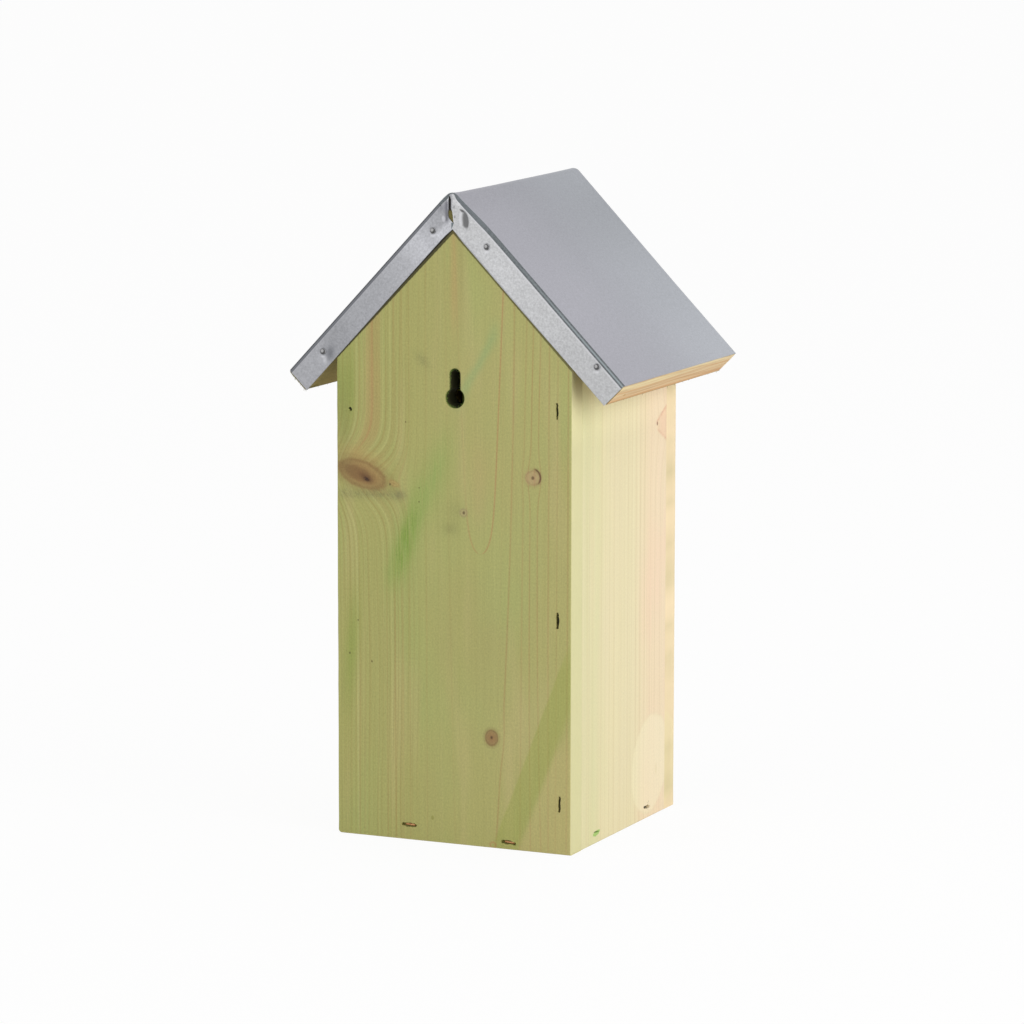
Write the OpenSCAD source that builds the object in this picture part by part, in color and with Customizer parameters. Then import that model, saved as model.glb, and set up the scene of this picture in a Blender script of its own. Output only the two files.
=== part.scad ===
// Butterfly house: a small pine box under a pitched roof that is wrapped in a folded zinc sheet.
// Millimetres. +Z is up, the front with its entrance slots faces -Y, and the back hangs on +Y.
// The origin is the centre of the box's underside.

/* [Box] */
// Width over the side panels
body_w = 120; // [100:1:150]
// Depth over the front and back panels
body_d = 124; // [100:1:170]
// Height of the side walls at their outer faces
wall_h = 229; // [190:1:280]
// Thickness of the wall panels
wall_t = 12; // [9:0.5:15]
// Thickness of the floor panel
floor_t = 12; // [9:0.5:18]

/* [Roof boards] */
// Slope of the roof, in degrees from level
roof_pitch = 45.5; // [38:0.5:50]
// Length of a roof board's top face, from the ridge line to the eave
roof_slope = 122; // [114:1:150]
// Thickness of the roof boards
roof_t = 12; // [9:0.5:15]
// How far the roof boards stand out past the front panel
front_overhang = 13.5; // [5:0.5:30]

/* [Zinc sheet] */
// Thickness of the zinc sheet
sheet_t = 0.5; // [0.4:0.1:1]
// Depth of the folded gable flanges, square to the slope, from the sheet's top face
flange_d = 13.5; // [9:0.5:16]
// Outer radius of the bend between a slope and its flange
bend_r = 1.8; // [1.2:0.1:3]
// How far the boards' eave ends stand out past the sheet
eave_reveal = 0.3; // [0:0.1:2]
// Length of the slit in each flange, down from the ridge
slit_len = 16; // [8:0.5:17]
// Width of that slit at its widest
slit_w = 1.6; // [0.8:0.1:3]

/* [Hanging keyhole] */
// Diameter of the round lower opening
keyhole_d = 9.6; // [8:0.1:12]
// Width of the narrow upper slot
keyhole_slot_w = 5.6; // [4.4:0.1:6.5]
// Distance from the round opening's centre up to the slot's end centre
keyhole_rise = 11; // [8:0.5:16]
// Depth of the round opening's centre below the eaves line
keyhole_drop = 18.5; // [10:0.5:40]
// Sideways offset of the keyhole from the middle of the panel
keyhole_shift = -0.8; // [-5:0.1:5]

/* [Entrance slots] */
// Number of upright entrance slots in the front panel
slot_count = 3; // [1:1:3]
// Width of an entrance slot
slot_w = 10; // [6:0.5:12]
// Height of an entrance slot over its round ends
slot_h = 90; // [60:1:100]
// Distance between the middles of neighbouring slots
slot_step = 26; // [18:1:30]
// Height of the slots' lower ends above the underside
slot_low = 75; // [40:1:85]

/* [Staples] */
// Width over a staple's two legs
staple_w = 5.8; // [5:0.1:7]
// Length of a staple over its legs
staple_l = 25; // [22:1:28]
// Width of the staple wire, seen from its crown
wire_w = 1.2; // [0.9:0.05:1.4]
// Thickness of the staple wire
wire_t = 1; // [0.8:0.05:1.2]
// Depth of the staples' crowns below the panels' faces
staple_sink = 1.2; // [0.4:0.1:2]
// Length of the scar that the driver leaves over a crown
scar_len = 8.2; // [7.2:0.1:9]
// Width of that scar
scar_w = 1.5; // [1.4:0.1:2.5]
// Distance of the upright staples from the panel's side edge
edge_inset = 7; // [6:0.1:8]
// Height of the lowest upright staple
staple_low = 23.7; // [20:0.1:40]
// Depth of the highest upright staple below the eaves line
staple_top_drop = 21.7; // [12:0.1:40]
// Place of the middle upright staple between the lowest, 0, and the highest, 1
staple_mid_share = 0.47; // [0.3:0.01:0.7]
// Distance of the two level staples of an end panel from its left and right edges
end_staple_inset = [31.7, 37.1]; // [24:0.1:42]
// Height of those two staples above the floor panel's underside
end_staple_z = [3.3, 7.1]; // [3:0.1:7.5]
// Tilt of those two staples, in degrees
end_staple_tilt = [11, 8]; // [-12:1:12]
// Distance of the two level staples of a side wall from the front and back faces
side_staple_inset = [33.7, 30]; // [24:0.1:40]
// Height of those two staples
side_staple_z = 5.4; // [3:0.1:7.5]
// Distance of the roof boards' staples from the ridge line, along the slope
roof_staple_s = [45, 76]; // [40:1:80]

/* [Nails] */
// Diameter of a flange nail's shank
nail_d = 1.4; // [1:0.1:2]
// Length of a flange nail under its head
nail_l = 20; // [12:1:25]
// Diameter of its domed head
nail_head_d = 3; // [2.4:0.1:4]
// Height of the domed head
nail_head_h = 0.8; // [0.5:0.1:1]
// Distance of the upper nails from the ridge, along the left and the right slope
nail_from_ridge = [31, 21.5]; // [18:0.1:36]
// Distance of the lower nails from the eave, along the left and the right slope
nail_from_eave = [15.1, 18.9]; // [8:0.1:30]
// Depth of the upper nails below the roof's top face, on the left and the right
nail_depth_high = [6.4, 7]; // [4:0.1:8]
// Depth of the lower nails below the roof's top face, on the left and the right
nail_depth_low = [3.7, 7.8]; // [3.6:0.1:8]
// Diameter of the sunk brad in the back panel's edge
brad_d = 1.8; // [1.2:0.1:2.2]
// Length of the brad
brad_l = 28; // [20:1:35]
// Depth of the brad's end below the panel's face
brad_sink = 1; // [0.3:0.1:2]
// Depth of the brad below the eaves line
brad_drop = 26.6; // [20:0.1:60]

/* [Hidden] */

$fn = 48;

half_w = body_w / 2;
half_d = body_d / 2;
pitch_cos = cos(roof_pitch);
pitch_sin = sin(roof_pitch);
pitch_tan = tan(roof_pitch);

// Ridge heights of the roof boards' undersides, of their top faces and of the sheet's top face
under_z = wall_h + half_w * pitch_tan;
board_z = under_z + roof_t / pitch_cos;
sheet_z = board_z + sheet_t / pitch_cos;

// The sheet's top face starts at its own, higher ridge line, so it is a little longer
sheet_slope = roof_slope + sheet_t * pitch_tan - eave_reveal;

// The roof boards lie flush with the back face and stand out past the front one
roof_back_y = half_d;
roof_front_y = -half_d - front_overhang;

// Longer than anything in the model, for shapes that only cut
reach = 2 * (wall_h + roof_slope + body_d);
// Overshoot of a cutter past the face that it opens
past = 1;

staple_high = wall_h - staple_top_drop;
staple_mid = staple_low + staple_mid_share * (staple_high - staple_low);
upright_z = [staple_low, staple_mid, staple_high];

// The brad stands as far from its edge as the upright staples do from theirs
brad_x = half_w - edge_inset;
brad_z = wall_h - brad_drop;

pine_back = [0.66, 0.64, 0.42];
pine_side = [0.9, 0.85, 0.66];
pine_roof = [0.86, 0.72, 0.46];
zinc_grey = [0.7, 0.71, 0.74];
copper = [0.72, 0.42, 0.24];
nail_grey = [0.5, 0.5, 0.52];

// Point on a roof plane: apex height, side -1 or 1, distance down the slope, depth below the plane
function on_plane(apex, side, s, n = 0) =
    [side * (s * pitch_cos - n * pitch_sin), apex - s * pitch_sin - n * pitch_cos];

// Moves children from the X-Z plane's drawing to a slab between two depths along Y
module along_y(from_y, to_y) {
    translate([0, to_y, 0]) rotate([90, 0, 0]) linear_extrude(to_y - from_y) children();
}

// Frame of one roof slope: X down the slope, Y along the house, Z out of the roof
module on_slope(side, apex) {
    mirror([side < 0 ? 1 : 0, 0, 0]) translate([0, 0, apex]) rotate([0, roof_pitch, 0]) children();
}

// Cross section of the roof along Y, with both upper corners rounded
module rounded_crown(y0, y1, r, depth) {
    translate([y0, -depth]) square([y1 - y0, depth - r]);
    translate([y0 + r, -r]) square([y1 - y0 - 2 * r, r]);
    translate([y0 + r, -r]) circle(r);
    translate([y1 - r, -r]) circle(r);
}

// Everything below one slope's top face, with the gable edges rounded to fit the sheet's bends
module below_slope(side) {
    on_slope(side, board_z) translate([-reach / 2, 0, 0]) rotate([90, 0, 90])
        linear_extrude(reach) rounded_crown(roof_front_y, roof_back_y, bend_r - sheet_t, reach / 2);
}

// Staple with its crown's outer face on Z = 0 and its legs down -Z, crown along X
module staple() {
    leg_gap = staple_w - 2 * wire_t;
    rotate([90, 0, 0]) translate([0, 0, -wire_w / 2]) linear_extrude(wire_w) difference() {
        translate([-staple_w / 2, -staple_l]) square([staple_w, staple_l]);
        translate([-leg_gap / 2, -staple_l - past]) square([leg_gap, staple_l + past - wire_t]);
    }
}

// Scar over a staple's crown, from the crown out past the face
module staple_scar() {
    translate([-scar_len / 2, -scar_w / 2, -wire_t]) cube([scar_len, scar_w, staple_sink + wire_t + past]);
}

// Sets a staple, or what cuts its seat, below a face whose outward side is +Z
module sunk(cutting) {
    translate([0, 0, -staple_sink]) {
        staple();
        if (cutting) staple_scar();
    }
}

// Turns +Z to point out of an end panel: facing 1 is the back, -1 the front
module out_of_end(facing) {
    translate([0, facing * half_d, 0]) rotate([facing > 0 ? -90 : 90, 0, 0]) children();
}

// Upright staples that hold an end panel on one side panel's edge
module upright_staples(facing, side, cutting = false) {
    for (z = upright_z)
        translate([side * (half_w - edge_inset), 0, z]) out_of_end(facing) rotate([0, 0, 90]) sunk(cutting);
}

// Level staples that hold an end panel on the floor panel's edge
module level_end_staples(facing, cutting = false) {
    for (i = [0, 1])
        translate([(i == 0 ? -1 : 1) * (half_w - end_staple_inset[i]), 0, end_staple_z[i]])
            out_of_end(facing) rotate([0, 0, facing * -end_staple_tilt[i]]) sunk(cutting);
}

// Level staples that hold one side panel on the floor panel's edge
module level_side_staples(side, cutting = false) {
    for (i = [0, 1])
        translate([side * half_w, (i == 0 ? -1 : 1) * (half_d - side_staple_inset[i]), side_staple_z])
            rotate([0, side * 90, 0]) rotate([0, 0, 90]) sunk(cutting);
}

// Staples that hold one roof board on the gable edges, flush under the zinc sheet
module roof_staples(side) {
    for (s = roof_staple_s, y = [half_d - wall_t / 2, -half_d + wall_t / 2])
        on_slope(side, board_z) translate([s, y, 0]) staple();
}

// Places one nail's frame, with +Z out of a gable flange
module at_nail(facing, side, s, n) {
    p = on_plane(sheet_z, side, s, n);
    y = facing > 0 ? roof_back_y : roof_front_y;
    translate([p[0], y, p[1]]) rotate([facing > 0 ? -90 : 90, 0, 0]) children();
}

module flange_nail_places() {
    for (facing = [-1, 1], i = [0, 1]) {
        side = i == 0 ? -1 : 1;
        at_nail(facing, side, nail_from_ridge[i], nail_depth_high[i]) children();
        at_nail(facing, side, sheet_slope - nail_from_eave[i], nail_depth_low[i]) children();
    }
}

module nail_shank() {
    translate([0, 0, -nail_l]) cylinder(d = nail_d, h = nail_l + sheet_t);
}

// Head that stands on the flange: a shallow dome cut from a ball
module nail_head() {
    ball_r = (pow(nail_head_d / 2, 2) + pow(nail_head_h, 2)) / (2 * nail_head_h);
    translate([0, 0, sheet_t]) intersection() {
        translate([0, 0, nail_head_h - ball_r]) sphere(ball_r);
        cylinder(d = nail_head_d + past, h = nail_head_h + past);
    }
}

module nail_shanks() {
    flange_nail_places() nail_shank();
}

// Brad along Y into the right side panel's edge, from its sunk end
module brad(cutting = false) {
    translate([brad_x, half_d - brad_sink, brad_z]) rotate([90, 0, 0]) cylinder(d = brad_d, h = brad_l);
    if (cutting)
        translate([brad_x, half_d + past, brad_z]) rotate([90, 0, 0]) cylinder(d = brad_d, h = brad_sink + past);
}

// Gabled outline of the front and back panels
module gable_outline() {
    polygon([[-half_w, 0], [half_w, 0], [half_w, wall_h], [0, under_z], [-half_w, wall_h]]);
}

// Upright slot through a panel, with round ends, from its lower end centre
module round_ended_slot(w, rise) {
    circle(d = w);
    translate([-w / 2, 0]) square([w, rise]);
    translate([0, rise]) circle(d = w);
}

module keyhole_cut() {
    along_y(half_d - wall_t - past, half_d + past) translate([keyhole_shift, wall_h - keyhole_drop]) {
        circle(d = keyhole_d);
        round_ended_slot(keyhole_slot_w, keyhole_rise);
    }
}

module entrance_cuts() {
    for (i = [0 : slot_count - 1])
        along_y(-half_d - past, -half_d + wall_t + past)
            translate([(i - (slot_count - 1) / 2) * slot_step, slot_low + slot_w / 2])
                round_ended_slot(slot_w, slot_h - slot_w);
}

module back_panel() {
    color(pine_back) difference() {
        along_y(half_d - wall_t, half_d) gable_outline();
        keyhole_cut();
        upright_staples(1, -1, true);
        level_end_staples(1, true);
        brad(true);
        for (side = [-1, 1]) roof_staples(side);
    }
}

module front_panel() {
    color(pine_back) difference() {
        along_y(-half_d, -half_d + wall_t) gable_outline();
        entrance_cuts();
        for (side = [-1, 1]) upright_staples(-1, side, true);
        level_end_staples(-1, true);
        for (side = [-1, 1]) roof_staples(side);
    }
}

// Side wall between the end panels, bevelled to the roof's underside
module side_panel(side) {
    difference() {
        along_y(-half_d + wall_t, half_d - wall_t) polygon([
            [side * half_w, 0],
            [side * half_w, wall_h],
            [side * (half_w - wall_t), wall_h + wall_t * pitch_tan],
            [side * (half_w - wall_t), 0]]);
        level_side_staples(side, true);
        upright_staples(-1, side);
        if (side < 0) upright_staples(1, side);
        else brad();
    }
}

module left_side_panel() {
    color(pine_side) side_panel(-1);
}

module right_side_panel() {
    color(pine_side) side_panel(1);
}

module floor_panel() {
    color(pine_back) difference() {
        translate([-half_w + wall_t, -half_d + wall_t, 0])
            cube([body_w - 2 * wall_t, body_d - 2 * wall_t, floor_t]);
        for (facing = [-1, 1]) level_end_staples(facing);
        for (side = [-1, 1]) level_side_staples(side);
    }
}

// The left board runs up to the ridge, and the right board butts against its underside.
// Both are drawn past the slopes' top faces, which below_slope then cuts.
module roof_board_outline(side) {
    lap = on_plane(board_z, -1, -roof_t, roof_t);
    eave_top = on_plane(board_z, side, roof_slope, -past);
    eave_low = on_plane(board_z, side, roof_slope, roof_t);
    if (side < 0) polygon([[0, board_z + 2 * past], eave_top, eave_low, lap]);
    else polygon([lap, eave_top, eave_low, [0, under_z]]);
}

module roof_board(side) {
    difference() {
        intersection() {
            along_y(roof_front_y, roof_back_y) roof_board_outline(side);
            below_slope(-1);
            below_slope(1);
        }
        roof_staples(side);
        nail_shanks();
    }
}

module left_roof_board() {
    color(pine_roof) roof_board(-1);
}

module right_roof_board() {
    color(pine_roof) roof_board(1);
}

// Half of the sheet's chevron, seen along Y, with the flange's depth and open above the slope
module half_chevron(side) {
    polygon([
        [0, sheet_z + 2 * past],
        on_plane(sheet_z, side, sheet_slope, -past),
        on_plane(sheet_z, side, sheet_slope, flange_d),
        [0, sheet_z - flange_d / pitch_cos]]);
}

// One slope of the sheet with its two folded flanges
module sheet_half(side) {
    intersection() {
        along_y(roof_front_y - sheet_t - past, roof_back_y + sheet_t + past) half_chevron(side);
        on_slope(side, sheet_z) translate([-sheet_slope / 2, 0, 0]) rotate([90, 0, 90])
            linear_extrude(2 * sheet_slope) difference() {
                rounded_crown(roof_front_y - sheet_t, roof_back_y + sheet_t, bend_r, 2 * flange_d);
                translate([0, -sheet_t])
                    rounded_crown(roof_front_y, roof_back_y, bend_r - sheet_t, 2 * flange_d);
            }
    }
}

// Slim tear where the flanges part below the ridge
module flange_slit() {
    widest = slit_len * 0.6;
    mouth = slit_w / 4;
    along_y(-reach / 2, reach / 2) polygon([
        [-mouth, sheet_z - bend_r], [mouth, sheet_z - bend_r],
        [slit_w / 2, sheet_z - widest], [0, sheet_z - slit_len], [-slit_w / 2, sheet_z - widest]]);
}

// Keeps the slit to the two flanges
module flange_slits() {
    intersection() {
        flange_slit();
        union() {
            translate([-half_w, roof_back_y - past, 0]) cube([body_w, sheet_t + 2 * past, reach]);
            translate([-half_w, roof_front_y - sheet_t - past, 0]) cube([body_w, sheet_t + 2 * past, reach]);
        }
    }
}

module zinc_roof_sheet() {
    color(zinc_grey) difference() {
        for (side = [-1, 1]) sheet_half(side);
        flange_slits();
        nail_shanks();
    }
}

module flange_nails() {
    color(nail_grey) flange_nail_places() {
        nail_shank();
        nail_head();
    }
}

module back_panel_staples() {
    color(copper) {
        upright_staples(1, -1);
        level_end_staples(1);
    }
}

module front_panel_staples() {
    color(copper) {
        for (side = [-1, 1]) upright_staples(-1, side);
        level_end_staples(-1);
    }
}

module side_panel_staples() {
    color(copper) for (side = [-1, 1]) level_side_staples(side);
}

module roof_board_staples() {
    color(copper) for (side = [-1, 1]) roof_staples(side);
}

module edge_brad() {
    color(nail_grey) brad();
}

back_panel();
front_panel();
left_side_panel();
right_side_panel();
floor_panel();
left_roof_board();
right_roof_board();
zinc_roof_sheet();
flange_nails();
back_panel_staples();
front_panel_staples();
side_panel_staples();
roof_board_staples();
edge_brad();
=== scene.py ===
"""Butterfly house: the looks of its boards, zinc sheet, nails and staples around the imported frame.

Lengths are metres in the frame's own space: X to the right for someone facing the front, Y towards
the wall that it hangs on, Z up. The drawing functions below work in millimetres and say so.
"""

import math
import random

import bmesh
import bpy
import numpy as np
from bpy.props import FloatProperty, FloatVectorProperty, IntProperty, PointerProperty
from mathutils import Matrix, Quaternion, Vector, noise
from mathutils.geometry import delaunay_2d_cdt


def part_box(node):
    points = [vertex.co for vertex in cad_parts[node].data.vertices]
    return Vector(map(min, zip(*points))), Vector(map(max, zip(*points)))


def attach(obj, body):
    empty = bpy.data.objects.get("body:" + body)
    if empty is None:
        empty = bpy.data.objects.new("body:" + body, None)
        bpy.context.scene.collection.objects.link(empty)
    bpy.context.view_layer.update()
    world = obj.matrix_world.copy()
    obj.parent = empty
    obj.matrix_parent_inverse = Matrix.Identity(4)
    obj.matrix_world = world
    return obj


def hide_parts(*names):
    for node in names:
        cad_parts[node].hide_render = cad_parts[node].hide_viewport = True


bl_info = {
    "name": "Butterfly house",
    "version": (1, 0, 0),
    "blender": (4, 5, 0),
    "location": "3D View > Sidebar > Butterfly house",
    "description": "Builds the boards, the folded zinc roof and the fixings of a butterfly house",
    "category": "Object",
}

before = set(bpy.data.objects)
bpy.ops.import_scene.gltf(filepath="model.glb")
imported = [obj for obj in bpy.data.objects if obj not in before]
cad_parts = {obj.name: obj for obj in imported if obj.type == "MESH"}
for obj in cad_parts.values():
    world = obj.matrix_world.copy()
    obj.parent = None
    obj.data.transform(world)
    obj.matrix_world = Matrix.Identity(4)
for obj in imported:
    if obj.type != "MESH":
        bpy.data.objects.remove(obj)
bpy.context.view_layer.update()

MM = 0.001
BODY = "root"

# Triangles of a smaller area than this, in square millimetres, are only rounding along a straight rim
SLIVER = 0.0005

# Millimetres, read from the frame where a node shows them
BACK_LOW, BACK_HIGH = (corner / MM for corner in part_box("back_panel"))
BOARD_LOW, BOARD_HIGH = (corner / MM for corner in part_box("left_roof_board"))
HALF_W = BACK_HIGH.x
HALF_D = BACK_HIGH.y
WALL_T = BACK_HIGH.y - BACK_LOW.y
GABLE_Z = BACK_HIGH.z
BOARD_Z = BOARD_HIGH.z
SHEET_Z = (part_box("zinc_roof_sheet")[1] / MM).z
ROOF_BACK_Y = BOARD_HIGH.y
ROOF_FRONT_Y = BOARD_LOW.y


# Settings of the pieces and of the studio


class BoardSettings(bpy.types.PropertyGroup):
    wall_height: FloatProperty(name="Wall height", description="Height of the walls at their outer faces",
                               default=0.229, unit="LENGTH")
    edge_ease: FloatProperty(name="Edge ease", description="Radius of the eased outer edges", default=0.0005,
                             unit="LENGTH")
    joint_ease: FloatProperty(name="Joint ease", description="Radius of the edges where boards meet",
                              default=0.00012, unit="LENGTH")
    slot_width: FloatProperty(name="Slot width", description="Width of an entrance slot", default=0.01,
                              unit="LENGTH")
    slot_height: FloatProperty(name="Slot height", description="Height of an entrance slot", default=0.09,
                               unit="LENGTH")
    slot_step: FloatProperty(name="Slot step", description="Distance between the slots' middles",
                             default=0.026, unit="LENGTH")
    slot_low: FloatProperty(name="Slot start", description="Height of the slots' lower ends", default=0.075,
                            unit="LENGTH")
    keyhole_diameter: FloatProperty(name="Keyhole diameter", description="Width of the keyhole's round end",
                                    default=0.0096, unit="LENGTH")
    keyhole_neck: FloatProperty(name="Keyhole neck", description="Width of the keyhole's upper slot",
                                default=0.0056, unit="LENGTH")
    keyhole_rise: FloatProperty(name="Keyhole rise",
                                description="From the round end's centre to that of the slot's top",
                                default=0.011, unit="LENGTH")
    keyhole_x: FloatProperty(name="Keyhole offset", description="Sideways place of the keyhole",
                             default=-0.0008, unit="LENGTH")
    keyhole_z: FloatProperty(name="Keyhole height", description="Height of the round end's centre",
                             default=0.2105, unit="LENGTH")


class RoofSettings(bpy.types.PropertyGroup):
    pitch: FloatProperty(name="Pitch", description="Slope of the roof from level", default=math.radians(45.5),
                         unit="ROTATION")
    slope: FloatProperty(name="Slope", description="Length of a roof board's top face", default=0.122,
                         unit="LENGTH")
    board: FloatProperty(name="Board", description="Thickness of the roof boards", default=0.012,
                         unit="LENGTH")
    sheet: FloatProperty(name="Sheet", description="Thickness of the zinc sheet", default=0.0005,
                         unit="LENGTH")
    reveal: FloatProperty(name="Reveal", description="How far the boards' ends stand out from the sheet's",
                          default=0.0003, unit="LENGTH")
    flange: FloatProperty(name="Flange", description="Depth of the folded gable flanges", default=0.0135,
                          unit="LENGTH")
    bend: FloatProperty(name="Bend", description="Outer radius of the back flange's bend", default=0.0016,
                        unit="LENGTH")
    front_bend: FloatProperty(name="Front bend", description="Outer radius of the front flange's bend",
                              default=0.0012, unit="LENGTH")
    fold: FloatProperty(name="Ridge fold", description="Outer radius of the fold over the ridge",
                        default=0.004, unit="LENGTH")
    sag: FloatProperty(name="Ridge sag", description="How far the ridge has sunk at the back", default=0.0013,
                       unit="LENGTH")
    lean: FloatProperty(name="Steeper side", description="Extra pitch of the +X slope",
                        default=math.radians(1.06), unit="ROTATION")
    slim: FloatProperty(name="Slimmer flange", description="How much the +X flanges lack in depth",
                        default=0.00055, unit="LENGTH")
    stretch: FloatProperty(name="Longer side", description="How much longer the +X slope is", default=0.0009,
                           unit="LENGTH")
    short: FloatProperty(name="Shorter sheet", description="How much the sheet lacks at the +X eave",
                         default=0.00045, unit="LENGTH")
    peak: FloatProperty(name="Ridge peak", description="How far the ridge's back end is pinched up",
                        default=0.0006, unit="LENGTH")
    askew: FloatProperty(name="Askew verge", description="How far the front verge runs out of square",
                         default=0.0015, unit="LENGTH")


class FixingSettings(bpy.types.PropertyGroup):
    staple_width: FloatProperty(name="Staple width", description="Width over a staple's legs", default=0.0058,
                                unit="LENGTH")
    staple_length: FloatProperty(name="Staple length", description="Length of a staple's legs", default=0.025,
                                 unit="LENGTH")
    wire_width: FloatProperty(name="Wire width", description="Width of the staple wire", default=0.0012,
                              unit="LENGTH")
    wire_thickness: FloatProperty(name="Wire thickness", description="Thickness of the staple wire",
                                  default=0.001, unit="LENGTH")
    sink: FloatProperty(name="Sink", description="Depth of the crowns below the boards' faces",
                        default=0.0012, unit="LENGTH")
    nail_diameter: FloatProperty(name="Nail", description="Diameter of a nail's shank", default=0.0014,
                                 unit="LENGTH")
    nail_length: FloatProperty(name="Nail length", description="Length of a nail under its head",
                               default=0.02, unit="LENGTH")
    head_diameter: FloatProperty(name="Head", description="Diameter of a nail's domed head", default=0.003,
                                 unit="LENGTH")
    head_height: FloatProperty(name="Head height", description="Height of that dome", default=0.0008,
                               unit="LENGTH")
    seed: IntProperty(name="Seed", description="Seed of the torn fibres", default=7, min=0)


class FinishSettings(bpy.types.PropertyGroup):
    # The back pine is darker than the panels' pale edges partly as painted shade of the back face, which gets
    # less light than the sides; the front and floor panels use it too.
    back_pine: FloatVectorProperty(name="Back pine", description="Tinted pine of the back and front panels",
                                   subtype="COLOR", default=(0.395, 0.385, 0.152))
    side_pine: FloatVectorProperty(name="Side pine", description="Pale pine of the side panels",
                                   subtype="COLOR", default=(0.765, 0.69, 0.425))
    roof_pine: FloatVectorProperty(name="Roof pine", description="Warm pine of the roof boards",
                                   subtype="COLOR", default=(0.70, 0.53, 0.29))
    # The slopes' zinc and the flanges' brighter zinc are one zinc: the flanges' extra brightness is painted
    # light.
    zinc: FloatVectorProperty(name="Zinc", description="Dull zinc of the slopes", subtype="COLOR",
                              default=(0.395, 0.393, 0.434))
    zinc_flange: FloatVectorProperty(name="Flange zinc", description="Brighter zinc of the flanges",
                                     subtype="COLOR", default=(0.565, 0.569, 0.58))
    copper: FloatVectorProperty(name="Copper wash", description="Copper wash of the staple wire",
                                subtype="COLOR", default=(0.62, 0.32, 0.15))
    steel: FloatVectorProperty(name="Steel", description="Dull steel of the nails", subtype="COLOR",
                               default=(0.33, 0.33, 0.34))


class StudioSettings(bpy.types.PropertyGroup):
    sky: FloatProperty(name="Sky", description="Strength of the even light from all round", default=0.74,
                       min=0)
    key: FloatProperty(name="Key lamp", description="Power of the large soft lamp", default=16, unit="POWER")
    floor_glow: FloatProperty(name="Floor white", description="Share of plain white in the seen floor",
                              default=0.93, min=0, max=1, subtype="FACTOR")


SETTINGS = {
    "butterfly_boards": BoardSettings,
    "butterfly_roof": RoofSettings,
    "butterfly_fixings": FixingSettings,
    "butterfly_finish": FinishSettings,
    "butterfly_studio": StudioSettings,
}


# Helpers that build node trees


class Value:
    """A socket that takes part in sums, so that a graph's maths reads as maths."""

    def __init__(self, graph, socket):
        self.graph = graph
        self.socket = socket

    def __add__(self, other):
        return self.graph.math("ADD", self, other)

    __radd__ = __add__

    def __sub__(self, other):
        return self.graph.math("SUBTRACT", self, other)

    def __rsub__(self, other):
        return self.graph.math("SUBTRACT", other, self)

    def __mul__(self, other):
        return self.graph.math("MULTIPLY", self, other)

    __rmul__ = __mul__

    def __truediv__(self, other):
        return self.graph.math("DIVIDE", self, other)

    def __pow__(self, other):
        return self.graph.math("POWER", self, other)

    def __neg__(self):
        return self.graph.math("MULTIPLY", self, -1.0)

    def __abs__(self):
        return self.graph.math("ABSOLUTE", self)


class Graph:
    """A node tree with one way to add a node."""

    group = "ShaderNode"

    def __init__(self, tree):
        self.tree = tree

    def node(self, kind, settings=None, values=None):
        """Adds a node: its settings first, then the values or links of its sockets, by name or index."""
        made = self.tree.nodes.new(kind)
        for key, value in (settings or {}).items():
            setattr(made, key, value)
        for key, value in (values or {}).items():
            socket = made.inputs[key]
            value = value.socket if isinstance(value, Value) else value
            if isinstance(value, bpy.types.NodeSocket):
                self.tree.links.new(value, socket)
            else:
                socket.default_value = value
        return made

    def math(self, operation, *terms):
        values = dict(enumerate(terms))
        return Value(self, self.node("ShaderNodeMath", {"operation": operation}, values).outputs[0])

    def combine(self, x, y, z):
        return Value(self, self.node("ShaderNodeCombineXYZ", None, {0: x, 1: y, 2: z}).outputs[0])


def seen_plainly(graph):
    """1 for rays that see the background itself: the camera's and those through gloss or glass."""
    path = graph.node("ShaderNodeLightPath").outputs
    share = graph.math("MAXIMUM", path["Is Camera Ray"], path["Is Glossy Ray"])
    return graph.math("MAXIMUM", share, path["Is Transmission Ray"])


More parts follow.
